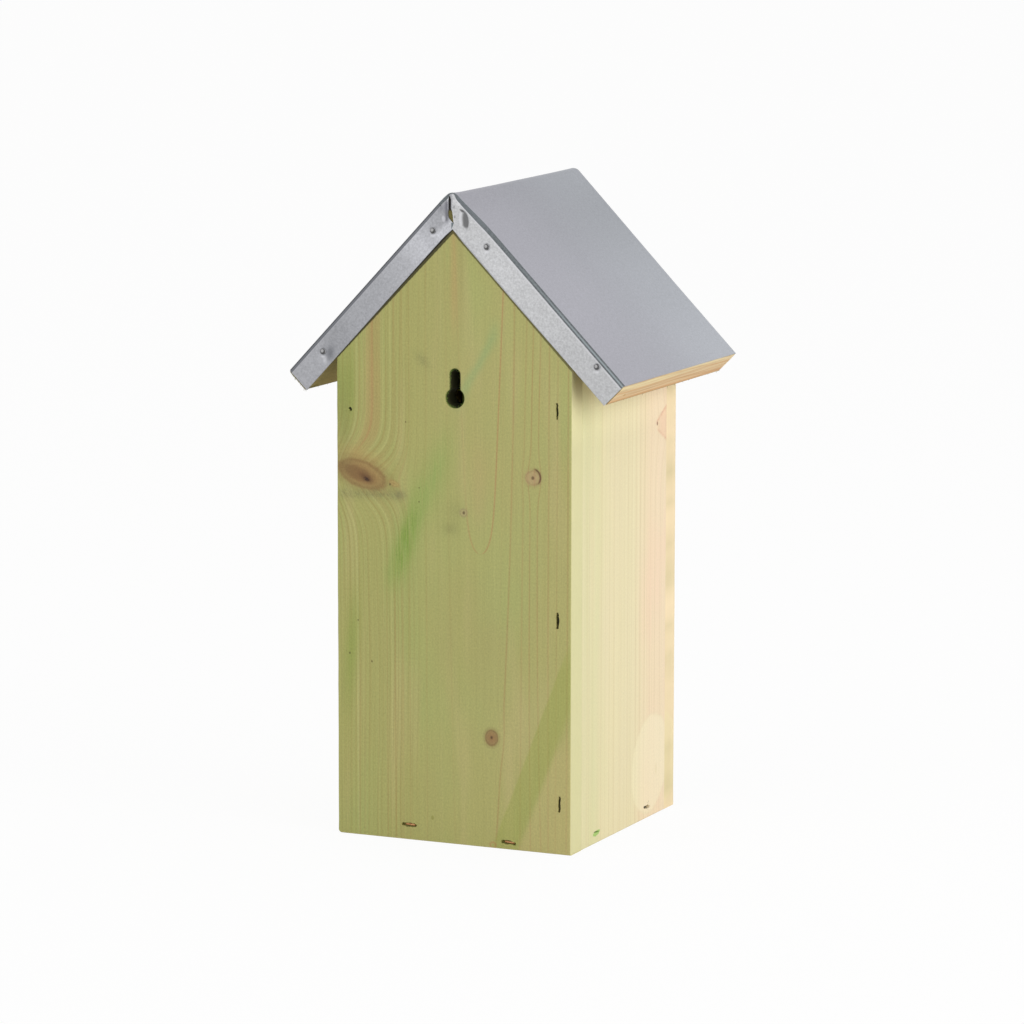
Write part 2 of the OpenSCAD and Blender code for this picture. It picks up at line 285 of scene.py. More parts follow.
class Paint(Graph):
    """A material under construction, in millimetres of Object coordinates."""

    def __init__(self, name):
        self.material = bpy.data.materials.new(name)
        self.material.use_nodes = True
        super().__init__(self.material.node_tree)
        self.tree.nodes.clear()
        place = self.node("ShaderNodeTexCoord").outputs["Object"]
        scaled = self.node("ShaderNodeVectorMath", {"operation": "SCALE"}, {0: place, "Scale": 1 / MM})
        split = self.node("ShaderNodeSeparateXYZ", None, {0: scaled.outputs[0]})
        self.x, self.y, self.z = (Value(self, split.outputs[i]) for i in range(3))
        self.tone = None

    def step(self, value, low, high, out_low=0.0, out_high=1.0):
        """Smooth step of value between low and high, which may fall as well as rise."""
        if low > high:
            low, high, out_low, out_high = high, low, out_high, out_low
        sockets = {"Value": value, "From Min": low, "From Max": high, "To Min": out_low, "To Max": out_high}
        made = self.node("ShaderNodeMapRange", {"interpolation_type": "SMOOTHSTEP"}, sockets)
        return Value(self, made.outputs[0])

    def noise(self, x, y, z, detail=2.0, roughness=0.5):
        """Noise from 0 to 1 at a place that is already scaled to one cell a unit."""
        sockets = {"Vector": self.combine(x, y, z), "Scale": 1.0, "Detail": detail, "Roughness": roughness}
        return Value(self, self.node("ShaderNodeTexNoise", {"noise_dimensions": "3D"}, sockets).outputs[0])

    def course(self, value, stops):
        """Smooth curve through stops of (value, level)."""
        level = stops[0][1]
        for (low, first), (high, second) in zip(stops, stops[1:]):
            level = self.step(value, low, high, 0.0, second - first) + level
        return level

    def grain(self, cells, detail=2.0, roughness=0.5):
        """Noise that is alike in all directions, with that many cells a millimetre."""
        return self.noise(self.x * cells, self.y * cells, self.z * cells, detail, roughness)

    def hump(self, share):
        """1 where share is 0, and next to nothing beyond 2."""
        return self.math("EXPONENT", -(share * share))

    def bell(self, value, width):
        """1 where value is 0, falling to nothing over width."""
        return self.hump(value / width)

    def oval(self, across, up, centre, radii, turn=0.0):
        """Distance from centre in units of an oval's radii, the oval turned by turn degrees."""
        a, b = across - centre[0], up - centre[1]
        c, s = math.cos(math.radians(turn)), math.sin(math.radians(turn))
        p, q = (a * c + b * s) / radii[0], (b * c - a * s) / radii[1]
        return (p * p + q * q) ** 0.5

    def spot(self, across, up, centre, radii, turn=0.0, width=0.9):
        """1 in the middle of an oval, fading out past its rim."""
        return self.bell(self.oval(across, up, centre, radii, turn), width)

    def disc(self, across, up, centre, radii, turn=0.0, outer=1.25, inner=0.5):
        """1 inside an oval, falling to 0 between two multiples of its radii."""
        return self.step(self.oval(across, up, centre, radii, turn), outer, inner)

    def most(self, a, b):
        return self.math("MAXIMUM", a, b)

    def mix(self, share, a, b, blend="MIX"):
        """Colour a turning to b as share goes from 0 to 1."""
        settings = {"data_type": "RGBA", "blend_type": blend, "clamp_factor": True}
        a, b = (v if isinstance(v, (Value, bpy.types.NodeSocket)) else (*v[:3], 1.0) for v in (a, b))
        return Value(self, self.node("ShaderNodeMix", settings, {0: share, 6: a, 7: b}).outputs[2])

    def coat(self, share, *levels):
        """Covers a share of what is painted so far with a colour given in levels of 0 to 255."""
        self.tone = self.mix(share, self.tone, srgb(*levels))

    def vary(self, value):
        """Makes what is painted so far lighter or darker by a number that varies."""
        self.tone = self.scale(self.tone, value)

    def scale(self, colour, value):
        """Colour made lighter or darker by a number that varies."""
        made = self.node("ShaderNodeVectorMath", {"operation": "SCALE"}, {0: colour, "Scale": value})
        return Value(self, made.outputs[0])

    def finish(self, rough, height=None, depth=0.1, metal=0.0):
        """Ends the material in a Principled shader. depth is the bump's height in millimetres."""
        values = {"Base Color": self.tone, "Roughness": rough, "Metallic": metal}
        if height is not None:
            bump = {"Strength": 1.0, "Distance": depth * MM, "Height": height}
            values["Normal"] = self.node("ShaderNodeBump", None, bump).outputs[0]
        shader = self.node("ShaderNodeBsdfPrincipled", None, values)
        self.node("ShaderNodeOutputMaterial", None, {"Surface": shader.outputs[0]})
        return self.material


class Recipe(Graph):
    """A Geometry Nodes tree under construction, with named inputs."""

    def __init__(self, name):
        super().__init__(bpy.data.node_groups.new(name, "GeometryNodeTree"))
        face = self.tree.interface
        face.new_socket("Geometry", in_out="INPUT", socket_type="NodeSocketGeometry")
        face.new_socket("Geometry", in_out="OUTPUT", socket_type="NodeSocketGeometry")
        self.start = self.tree.nodes.new("NodeGroupInput")
        self.places = self.start.outputs[0]
        self.identifiers = {}

    def ask(self, name, kind, default=None):
        """Adds a named input and returns what it gives."""
        made = self.tree.interface.new_socket(name, in_out="INPUT", socket_type=kind)
        if default is not None:
            made.default_value = default
        self.identifiers[name] = made.identifier
        socket = next(s for s in self.start.outputs if s.identifier == made.identifier)
        return Value(self, socket) if kind in ("NodeSocketFloat", "NodeSocketInt") else socket

    def named(self, name, kind="FLOAT_VECTOR"):
        """A named attribute of the points."""
        return self.node("GeometryNodeInputNamedAttribute", {"data_type": kind}, {"Name": name}).outputs[0]

    def spread(self, points, instance, size=None):
        """Puts an instance on each point, turned as the points' own turn says, and makes it real."""
        turn = self.node("FunctionNodeEulerToRotation", None, {0: self.named("turn")}).outputs[0]
        values = {"Points": points, "Instance": instance, "Rotation": turn}
        if size is not None:
            values["Scale"] = size
        on_points = self.node("GeometryNodeInstanceOnPoints", None, values)
        return self.node("GeometryNodeRealizeInstances", None, {0: on_points.outputs[0]}).outputs[0]

    def end(self, geometry, material):
        painted = self.node("GeometryNodeSetMaterial", None, {"Geometry": geometry, "Material": material})
        self.node("NodeGroupOutput", None, {0: painted.outputs[0]})

    def make(self, name, carrier, values):
        """Runs the tree on the carrier's points and returns a plain mesh object in its place."""
        modifier = carrier.modifiers.new("Recipe", "NODES")
        modifier.node_group = self.tree
        for key, value in values.items():
            modifier[self.identifiers[key]] = value
        graph = bpy.context.evaluated_depsgraph_get()
        mesh = bpy.data.meshes.new_from_object(carrier.evaluated_get(graph))
        made = bpy.data.objects.new(name, mesh)
        mesh.name = name
        bpy.context.scene.collection.objects.link(made)
        bpy.data.objects.remove(carrier)
        return made


def points_carrier(name, places, extra=None):
    """Mesh of loose points, in millimetres. Each place is (point, crown direction, outward direction)."""
    mesh = bpy.data.meshes.new(name)
    mesh.from_pydata([Vector(p) * MM for p, _, _ in places], [], [])
    turn = mesh.attributes.new("turn", "FLOAT_VECTOR", "POINT")
    for i, (_, along, out) in enumerate(places):
        out, along = Vector(out).normalized(), Vector(along)
        along = (along - out * along.dot(out)).normalized()
        turn.data[i].vector = Matrix((along, out.cross(along), out)).transposed().to_euler()
    for key, numbers in (extra or {}).items():
        mesh.attributes.new(key, "FLOAT", "POINT").data.foreach_set("value", numbers)
    carrier = bpy.data.objects.new(name, mesh)
    bpy.context.scene.collection.objects.link(carrier)
    return carrier


# Outlines and boards, drawn in millimetres


def miters(loop):
    """Unit miter of each corner, to the right of a closed loop's travel."""
    loop = np.asarray(loop)
    ahead = np.roll(loop, -1, 0) - loop
    ahead /= np.linalg.norm(ahead, axis=1)[:, None]
    right = np.stack([ahead[:, 1], -ahead[:, 0]], 1)
    both = right + np.roll(right, 1, 0)
    both /= np.linalg.norm(both, axis=1)[:, None]
    return both / np.maximum((both * right).sum(1), 0.7)[:, None]


def rounded_loop(corners, pitch=5.0):
    """Outline from corners (a, b, radius), its corners turned to arcs and its sides cut to pitch or less."""
    loop, n = [], len(corners)
    for i, (a, b, r) in enumerate(corners):
        here = np.array([a, b], float)
        if not r:
            loop.append(here)
            continue
        back = np.array(corners[i - 1][:2], float) - here
        ahead = np.array(corners[(i + 1) % n][:2], float) - here
        back, ahead = back / np.linalg.norm(back), ahead / np.linalg.norm(ahead)
        half = math.acos(np.clip(back @ ahead, -1, 1)) / 2
        reach = r / math.tan(half)
        middle = back + ahead
        centre = here + middle / np.linalg.norm(middle) * r / math.sin(half)
        start, end = here + back * reach - centre, here + ahead * reach - centre
        for k in range(6):
            t = k / 5
            sweep = math.pi - 2 * half
            w0, w1 = math.sin((1 - t) * sweep) / math.sin(sweep), math.sin(t * sweep) / math.sin(sweep)
            loop.append(centre + start * w0 + end * w1)
    out = []
    for p, q in zip(loop, loop[1:] + loop[:1]):
        cuts = max(1, math.ceil(np.linalg.norm(q - p) / pitch))
        out += [p + (q - p) * k / cuts for k in range(cuts)]
    return np.array(out)


def wavy(loop, strength, seed=0.0, where=None):
    """Pushes an outline into its board a little, as a saw leaves it. strength is in millimetres."""
    push = [noise.noise(Vector((p[0] * 0.11, p[1] * 0.11, seed))) * 0.5 + 0.5 for p in loop]
    amount = np.array([s * (where(*p) if where else 1) for s, p in zip(push, loop)]) * strength
    return loop - miters(loop) * amount[:, None]


def inside(points, loops):
    """Whether each point is inside by the even-odd rule."""
    points = np.asarray(points)
    found = np.zeros(len(points), bool)
    for loop in loops:
        p, q = np.asarray(loop), np.roll(loop, -1, 0)
        for (x0, y0), (x1, y1) in zip(p, q):
            if y0 == y1:
                continue
            crosses = (y0 > points[:, 1]) != (y1 > points[:, 1])
            found ^= crosses & (points[:, 0] < (x1 - x0) * (points[:, 1] - y0) / (y1 - y0) + x0)
    return found


def grid_of(low, high, spacing):
    """Points of a staggered grid between two corners."""
    half = spacing / 2
    across, up = (np.arange(low[i] + half, high[i], spacing) for i in (0, 1))
    return np.array([(a + (j % 2) * half, b) for j, b in enumerate(up) for a in across]).reshape(-1, 2)


def cap(loops, spacing, dense=()):
    """Triangles that fill the loops by the even-odd rule, with a loose grid inside. dense holds round
    places (a, b, radius, spacing) with a finer grid. Returns points and the triangles over them, the loops'
    points first."""
    edges, points = [], []
    for loop in loops:
        base, n = len(points), len(loop)
        edges += [(base + i, base + (i + 1) % n) for i in range(n)]
        points += [tuple(p) for p in loop]
    rim = np.array(points)
    grids = [(grid_of(rim.min(0), rim.max(0), spacing), spacing)]
    for a, b, radius, finer in dense:
        middle = np.array([a, b])
        grids = [(g[np.linalg.norm(g - middle, axis=1) > radius], pitch) for g, pitch in grids]
        disc = grid_of(middle - radius, middle + radius, finer)
        grids.append((disc[np.linalg.norm(disc - middle, axis=1) < radius - finer / 2], finer))
    for grid, pitch in grids:
        grid = grid[inside(grid, loops)]
        if len(grid):
            gaps = np.linalg.norm(grid[:, None] - rim[None], axis=2).min(1)
            points += [tuple(p) for p in grid[gaps > pitch * 0.45]]
    verts, _, faces, origins, _, _ = delaunay_2d_cdt([Vector(p) for p in points], edges, [], 0, 1e-7, True)
    if not all(origins):
        raise ValueError("an outline crosses itself or another one")
    back = [o[0] for o in origins]
    middles = [sum((verts[i] for i in f), Vector((0, 0))) / 3 for f in faces]
    keep = inside([tuple(m) for m in middles], loops)
    spans = [(verts[f[1]] - verts[f[0]]).cross(verts[f[2]] - verts[f[0]]) for f in faces]
    kept = [f for f, k, span in zip(faces, keep, spans) if k and abs(span) > SLIVER]
    return points, [[back[i] for i in f] for f in kept]


def plate(name, place, outline, holes, pits, thick, ease, back_ease, spacing=9.0, sag=0.05):
    """A board as one closed mesh. The outline runs counter-clockwise and holes and pits clockwise, in
    (a, b). place turns (a, b, depth) to a point. ease is a radius or a function of (a, b). Pits are (loop,
    depth, how much wider their foot is) and don't go through."""
    verts, faces = [], []

    def ring(points, depths):
        start = len(verts)
        depths = np.broadcast_to(depths, len(points))
        verts.extend((p[0], p[1], d) for p, d in zip(points, depths))
        return list(range(start, len(verts)))

    def strip(first, second):
        n = len(first)
        faces.extend([first[i], first[(i + 1) % n], second[(i + 1) % n], second[i]] for i in range(n))

    def eased(loop, radius, from_back):
        """Rings from the face over its rounded edge to the wall."""
        out = miters(loop)
        radii = np.array([radius(*p) if callable(radius) else radius for p in loop])
        rings = [(loop - out * (radii + 0.3)[:, None], np.zeros(len(loop)))]
        for k in range(4):
            t = k / 3 * math.pi / 2
            rings.append((loop - out * (radii * (1 - math.sin(t)))[:, None], radii * (1 - math.cos(t))))
        return [(p, thick - d) for p, d in rings] if from_back else rings

    fronts, backs, floors = [], [], []
    for loop in [outline, *holes]:
        first = [ring(*r) for r in eased(loop, ease, False)]
        last = [ring(*r) for r in eased(loop, back_ease, True)]
        chain = first + last[::-1]
        for a, b in zip(chain, chain[1:]):
            strip(a, b)
        fronts.append(first[0])
        backs.append(last[0])
    for loop, depth, flare in pits:
        out = miters(loop)
        rim = ring(loop - out * 0.08, 0.0)
        lip = ring(loop, 0.12)
        foot = ring(loop + out * flare, depth)
        strip(rim, lip)
        strip(lip, foot)
        fronts.append(rim)
        floors.append((foot, depth))
    groups = [(fronts, 0.0, 1), (backs, thick, -1)] + [([foot], depth, 0) for foot, depth in floors]
    for rings, level, bend in groups:
        loops = [np.array([verts[i][:2] for i in r]) for r in rings]
        points, triangles = cap(loops, spacing if bend else 50.0)
        known = [i for r in rings for i in r]
        for p in points[len(known):]:
            swell = noise.noise(Vector((p[0] * 0.03, p[1] * 0.02, level))) * 0.5 + 0.5
            known.append(len(verts))
            verts.append((p[0], p[1], level + bend * sag * swell))
        faces.extend([known[i] for i in t] for t in triangles)
    return mesh_piece(name, [place(*v) for v in verts], faces)


def mesh_piece(name, verts, faces, merge=1e-7, recalculate=True, sharp=40.0, marks=None):
    """An object at the origin from points in millimetres. marks are the points' places on the roof."""
    mesh = bpy.data.meshes.new(name)
    mesh.from_pydata([Vector(v) * MM for v in verts], [], faces)
    if marks:
        places = mesh.attributes.new("roof_place", "FLOAT_VECTOR", "POINT")
        places.data.foreach_set("vector", [float(v) for mark in marks for v in mark])
    bm = bmesh.new()
    bm.from_mesh(mesh)
    bmesh.ops.remove_doubles(bm, verts=bm.verts, dist=merge)
    bmesh.ops.dissolve_degenerate(bm, edges=bm.edges, dist=merge)
    loose = [v for v in bm.verts if not v.link_faces]
    bmesh.ops.delete(bm, geom=loose, context="VERTS")
    if recalculate:
        bmesh.ops.recalc_face_normals(bm, faces=bm.faces)
    bm.to_mesh(mesh)
    bm.free()
    mesh.shade_smooth()
    mesh.set_sharp_from_angle(angle=math.radians(sharp))
    made = bpy.data.objects.new(name, mesh)
    bpy.context.scene.collection.objects.link(made)
    return made


def dress(piece, material, slot, *nodes):
    """Paints a finished piece and hands it to the frame."""
    piece.data.materials.clear()
    piece.data.materials.append(material)
    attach(piece, BODY)
    if nodes:
        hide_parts(*nodes)
    return piece


def round_hole(x, z, r, steps=28, start=0.0, sweep=-360.0):
    """Clockwise arc of points."""
    turns = [math.radians(start + sweep * k / steps) for k in range(steps)]
    return [(x + r * math.cos(t), z + r * math.sin(t)) for t in turns]


def slot_loop(x, low, width, height):
    """Clockwise loop of an upright slot with round ends."""
    r = width / 2
    top = round_hole(x, low + height - r, r, 10, 180, -180) + [(x + r, low + height - r)]
    bottom = round_hole(x, low + r, r, 10, 0, -180) + [(x - r, low + r)]
    right = [(x + r, low + height - r - (height - width) * k / 10) for k in range(1, 10)]
    left = [(x - r, low + r + (height - width) * k / 10) for k in range(1, 10)]
    return np.array(top + right + bottom + left)


def keyhole_loop(b):
    """Clockwise loop of the hanging keyhole: a round end with a narrower slot above it."""
    x, z = b.keyhole_x / MM, b.keyhole_z / MM
    r, neck, rise = b.keyhole_diameter / MM / 2, b.keyhole_neck / MM / 2, b.keyhole_rise / MM
    meet = math.degrees(math.acos(neck / r))
    crown = round_hole(x, z + rise, neck, 14, 180, -180) + [(x + neck, z + rise)]
    foot = z + math.sin(math.radians(meet)) * r
    right = [(x + neck, z + rise + (foot - z - rise) * k / 5) for k in range(1, 5)]
    bulb = round_hole(x, z, r, 34, meet, -180 - 2 * meet) + [(x - neck, foot)]
    left = [(x - neck, foot + (z + rise - foot) * k / 5) for k in range(1, 5)]
    return np.array(crown + right + bulb + left)


def scar_loop(centre, direction, length, width, seed):
    """Clockwise ragged slit that a staple driver leaves."""
    rng = random.Random(seed)
    along = np.array(direction, float) / np.linalg.norm(direction)
    side = np.array([-along[1], along[0]])
    loop = []
    for k in range(22):
        t = -2 * math.pi * k / 22
        c, s = math.cos(t), math.sin(t)
        taper = abs(s) ** 0.45
        a = math.copysign(abs(c) ** 0.75, c) * length / 2 * (1 + rng.uniform(-0.05, 0.05))
        b = math.copysign(taper, s) * width / 2 * (1 + rng.uniform(-0.3, 0.25))
        loop.append(np.array(centre) + along * a + side * b)
    return np.array(loop)


def on_plane(apex, side, s, n, r):
    """Point (x, z) on a roof plane, s down the slope and n below it."""
    c, k = math.cos(r.pitch), math.sin(r.pitch)
    return side * (s * c - n * k), apex - s * k - n * c


# Staples of the end panels: the upright ones' x, heights and how far each strays outward, and the level
# ones as x, z and tilt in degrees
UPRIGHT_X = 53.0
UPRIGHT_Z = (23.7, 109.99, 207.3)
UPRIGHT_SHIFT = (1.2, 0.0, -0.5)
LEVEL_ENDS = ((-28.3, 3.3, 3.5), (22.9, 7.1, 3.0))

# Staples of the side panels as y, at one height, and those of the roof boards as distances down the slope
LEVEL_SIDES = (-28.3, 32.0)
SIDE_STAPLE_Z = 5.4
ROOF_STAPLE_S = (45.0, 76.0)

# The scars that the staples lie in: depth, how much narrower their foot is, and length on an end panel
SCAR_DEPTH = 2.3
SCAR_FLARE = -0.1
BACK_SCAR_LENGTH = 7.8
BACK_SCAR_WIDTHS = (1.3, 1.6, 1.2, 1.9, 1.9)
FRONT_SCAR_LENGTH = 7.6
FRONT_SCAR_WIDTHS = {"upright": 1.2, "level": 1.9}

# Eased edges of the roof boards and of the floor, and how far a saw strays into an end panel
BOARD_EASE = 0.45
FLOOR_EASE = 0.15
SAW_WAVE = 0.22

# The brad in the back panel as (x, z)
BRAD = (53.0, 202.4)

# Nails: side, distance down the slope, depth below the sheet's face
NAIL_PLACES = ((-1, 31.0, 6.4), (1, 21.5, 7.0), (-1, 107.1088, 3.7), (1, 103.3088, 7.8))

# Share of the slope where the leaning +X side crosses the true roof, and how far the change over the
# ridge reaches
PIVOT = 0.41
RIDGE_TURN = 6.0

# How far the sag of the ridge spreads on the -X and the +X side, and the peak at its back end: its width,
# where it starts and how long it is
SAG_SPREAD = (17.0, 4.5)
PEAK_WIDTH = 2.2
PEAK_START = 50.0
PEAK_LENGTH = 12.0

# The askew verge: how far down the slope it grows, and its share at the ridge
ASKEW_REACH = 75.0
ASKEW_RIDGE = 0.2

# Rows of the sheet: the ridge's fold, the zone near it that has finer rows, and the rest of a slope,
# then from gable to gable, round a bend and along a flange's lower edge
FOLD_ROWS = 7
NEAR_RIDGE = 16
NEAR_ROWS = 16
SLOPE_ROWS = 46
GABLE_ROWS = 26
BEND_ROWS = 9
EDGE_CUTS = 60

# Dimples at the nails: depth and reach, and the deepest that a flange is pressed in
DIMPLE_DEPTH = 0.28
DIMPLE_REACH = 2.0
DEEPEST = 0.44

# Folds beside the tear as (-x, width, depth)
FOLDS = ((-2.95, 0.55, 0.3), (0.8, 0.45, 0.2), (-4.6, 1.1, -0.2))

# The tear in each flange as corners (x, z), and the hollow beside it: middle (-x, z) and radii
SLIT = ((1.5, 303.3), (2.05, 302.8), (2.3, 300.7), (2.15, 298.0), (2.45, 296.6), (2.5, 295.2), (2.08, 294.1),
        (0.86, 292.7), (-0.05, 291.8), (-0.66, 291.45), (-0.36, 293.2), (-0.26, 294.8), (0.08, 296.7),
        (0.75, 298.2), (0.72, 300.8), (0.85, 302.8))
DENT = (4.0, 292.3, 4.25, 5.9)


def end_scars(facing, sides):
    """Pits of one end panel's staples: (centre, direction, seed) in (x, z)."""
    found = [((side * (UPRIGHT_X + UPRIGHT_SHIFT[i]), z), (0.02 * (i - 1), 1.0), i + 3 * side + 11 * facing)
             for side in sides for i, z in enumerate(UPRIGHT_Z)]
    for i, (x, z, tilt) in enumerate(LEVEL_ENDS):
        t = math.radians(tilt)
        found.append(((x, z), (math.cos(t), math.sin(t)), 31 + i + facing))
    return found


# Finishes, painted in millimetres


def srgb(*levels):
    """Linear colour from levels of 0 to 255."""
    return tuple((v / 255 / 12.92) if v <= 10 else ((v / 255 + 0.055) / 1.055) ** 2.4 for v in levels)


def pine(paint, across, depth, along, pith, spacing, taper=0.02, seed=0.0, contrast=1.0):
    """Growth rings round a pith line. Returns (ring line 0-1, fibre 0-1, drift 0-1, speckle 0-1)."""
    sway = (paint.noise(across * 0.02, depth * 0.03, along * 0.008 + seed, 1.0) - 0.5) * 5.0
    a, d = across - pith[0] + sway, depth - pith[1]
    radius = (a * a + d * d) ** 0.5 - along * taper
    uneven = (paint.noise(radius * 0.16, seed, along * 0.0015, 1.0) - 0.5) * 2.4
    phase = paint.math("FRACT", radius / spacing + uneven + 50.0)
    line = paint.step(phase, 0.45, 0.93) * paint.step(phase, 1.0, 0.94)
    strength = paint.step(paint.noise(radius * 0.31, seed + 3.0, along * 0.004, 1.0), 0.3, 0.75, 0.25, 1.0)
    fibre = paint.noise(across * 2.6, depth * 2.6, along * 0.035 + seed, 3.0, 0.62)
    drift = paint.noise(across * 0.045, depth * 0.045, along * 0.012 + seed + 7.0, 2.0)
    speckle = paint.noise(across * 3.4, depth * 3.4, along * 1.3 + seed, 2.0, 0.6)
    return line * strength * contrast, fibre, drift, speckle


def knot(paint, across, up, centre, radii, turn, tone, bark, strength=1.0, seed=0.0):
    """Paints a knot: a darker oval with rings and a bark line. Returns how raised it is, from 0 to 1."""
    far = paint.oval(across, up, centre, radii, turn)
    rough = paint.noise(across * 0.35, up * 0.35, seed, 3.0, 0.6)
    far = far + (rough - 0.5) * 0.14
    body = paint.step(far, 1.12, 0.45) * strength
    rings = paint.math("SINE", far * 17.0 + rough * 2.0) * 0.5 + 0.5
    paint.coat(body * 0.9, *tone)
    paint.coat(paint.bell(far - 0.8, 0.28) * (0.25 + rings * 0.35) * strength, *bark)
    paint.coat(paint.step(far, 0.42, 0.05) * (0.5 + rings * 0.4) * strength, *bark)
    return body


# How the figure lies on the back panel: its lean, its shift to the left in millimetres and its stretch
BACK_LEAN = 0.003
BACK_SHIFT = 0.55
BACK_STRETCH = 1.0017


def back_course(p, u, z):
    """Where the grain at (u, z) would run if no knot pushed it aside."""
    knot_far = p.oval(u, z, (-47.0, 171.5), (19.0, 15.0), -12.0)
    swerve = p.hump(knot_far) * 15.0
    small_far = p.oval(u, z, (40.4, 176.0), (5.5, 8.5))
    nudge = p.hump(small_far) * 2.4 * p.step(u, 39.2, 41.6, -0.7, 1.0)
    low_far = p.oval(u, z, (19.3, 52.4), (6.5, 10.0))
    low_nudge = p.hump(low_far) * 2.6 * p.step(u, 17.8, 20.8, -1.0, 1.0)
    return u + swerve - nudge - low_nudge


def back_lines(p, a, z):
    """Single ring lines, as (place at mid-height, lean, bow, width, strength), and three pale ones."""
    t = (z - 150.0) / 100.0
    faint = p.noise(3.0, 1.0, z * 0.03, 2.0) * 0.8 + 0.35
    red = (160, 118, 78)
    for start, lean, bow, width, strength in (
        (29.2, 3.3, -1.3, 0.45, 0.5), (35.4, 1.7, 0.4, 0.4, 0.34), (38.9, 1.2, 0.9, 0.34, 0.52),
        (42.7, 0.8, 1.3, 0.34, 0.5), (48.2, 0.5, 0.3, 0.4, 0.42), (52.6, 0.6, 0.0, 0.34, 0.3),
        (58.0, 0.5, 0.0, 0.4, 0.4), (-2.4, -1.6, 0.3, 0.5, 0.12), (24.6, 2.2, -0.5, 0.3, 0.1),
        (-13.8, 0.0, 0.0, 0.3, 0.22), (-22.5, 0.0, 0.0, 0.28, 0.3), (-26.1, 0.0, 0.0, 0.3, 0.24),
        (-30.2, 0.0, 0.0, 0.34, 0.34), (-34.4, 0.0, 0.0, 0.3, 0.3), (-48.4, 0.3, 0.0, 0.3, 0.2),
        (-54.6, 0.3, 0.0, 0.3, 0.24), (-57.0, 0.0, 0.0, 0.3, 0.2),
    ):
        course = t * (t * bow + lean) + start
        p.coat(p.bell(a - course, width) * faint * strength, *red)
    pale = p.bell(a + 49.6, 0.4) + p.bell(a + 6.4, 0.7) * 0.3 + p.bell(a + 46.0, 0.3) * 0.4
    p.coat(pale * 0.26, 198, 194, 142)


def back_cathedral(p, u, z):
    """A pointed ring line: two arms that close in a round foot."""
    rise = p.most(z - 138.6, 0.0)
    half = (1.0 - p.math("EXPONENT", rise * -0.11)) ** 0.5 * 6.4 + rise * 0.045
    arms = p.bell(abs(u - 13.7) - half, 0.42) * p.step(z, 138.2, 139.4)
    left_arm = p.step(z, 168.0, 146.0, 0.12, 0.42)
    p.coat(arms * (left_arm + p.step(u, 12.0, 15.0) * (0.55 - left_arm)), 172, 125, 86)
    p.coat(p.bell(u - 13.0, 5.0) * p.step(z, 139.0, 162.0) * p.step(z, 215.0, 170.0) * 0.3, 184, 160, 116)


def back_bands(p, u, z, a):
    """Pink band above the big knot, green edge left of it, and a soft red band under the ridge."""
    above = p.step(z, 176.0, 192.0)
    pink = p.step(a, -45.4, -44.2) * p.step(a, -36.6, -37.6) * above
    p.coat(pink * 0.4, 176, 146, 100)
    p.coat(p.bell(a + 41.6, 0.7) * above * 0.35, 178, 126, 90)
    p.coat(p.step(a, -48.0, -52.5) * p.bell(z - 212.0, 22.0) * 0.55, 140, 156, 76)
    crest = p.step(z, 222.0, 262.0)
    p.coat(p.bell(u - 0.6, 1.9) * crest * 0.4, 182, 148, 100)
    p.coat(p.bell(u - 4.4, 1.6) * crest * 0.28, 142, 134, 78)


def back_stains(p, u, z):
    """Green stain down the left middle, teal streak by the keyhole, darker lower right corner."""
    ragged = (p.noise(u * 0.25, z * 0.05, 12.0, 3.0, 0.6) - 0.5) * 10.0
    path = u + ragged * 0.5
    course = p.step(z, 118.0, 200.0, -30.5, -4.0)
    stain = p.bell(path - course, 6.0) * p.step(z, 114.0, 130.0) * p.step(z, 205.0, 168.0)
    feather = p.step(p.noise(u * 1.1, z * 0.06, 15.0, 3.0, 0.6), 0.3, 0.66, 0.35, 1.2)
    p.coat(stain * feather * 0.5, 140, 168, 92)
    patch = p.bell(p.oval(u + ragged * 0.3, z, (-24.4, 142.5), (5.2, 23.0), -17.0), 0.8)
    p.coat(patch * p.step(p.noise(u * 1.3, z * 0.07, 5.0, 3.0), 0.34, 0.62, 0.3, 1.15) * 0.75, 124, 152, 62)
    low_patch = p.bell(p.oval(u + ragged * 0.2, z, (-52.5, 90.0), (5.0, 34.0), -5.0), 0.8)
    p.coat(low_patch * 0.6, 140, 158, 78)
    teal = p.bell(u + ragged * 0.25 - p.step(z, 205.0, 246.0, 3.4, 21.0), 2.6)
    teal = teal * p.step(z, 200.0, 216.0) * p.step(z, 252.0, 238.0)
    p.coat(teal * 0.42, 136, 170, 116)
    mid_green = p.spot(u + ragged * 0.4, z, (-9.0, 173.0), (9.0, 24.0), -20.0)
    p.coat(mid_green * 0.3, 146, 168, 96)
    border = (z + 3.0) * 0.395 + 18.2
    across = u + ragged * 0.06 - border
    corner = p.step(across, -0.8, 0.8) * p.step(across, 16.0, 10.5) * p.step(z, 108.0, 84.0)
    p.coat(corner * 0.46, 150, 160, 78)
    p.coat(p.step(across, 12.0, 15.0) * p.step(z, 60.0, 44.0) * 0.35, 192, 178, 124)
    p.coat(p.spot(u, z, (38.0, 64.0), (9.0, 20.0), -20.0) * (1.0 - corner) * 0.3, 184, 178, 124)


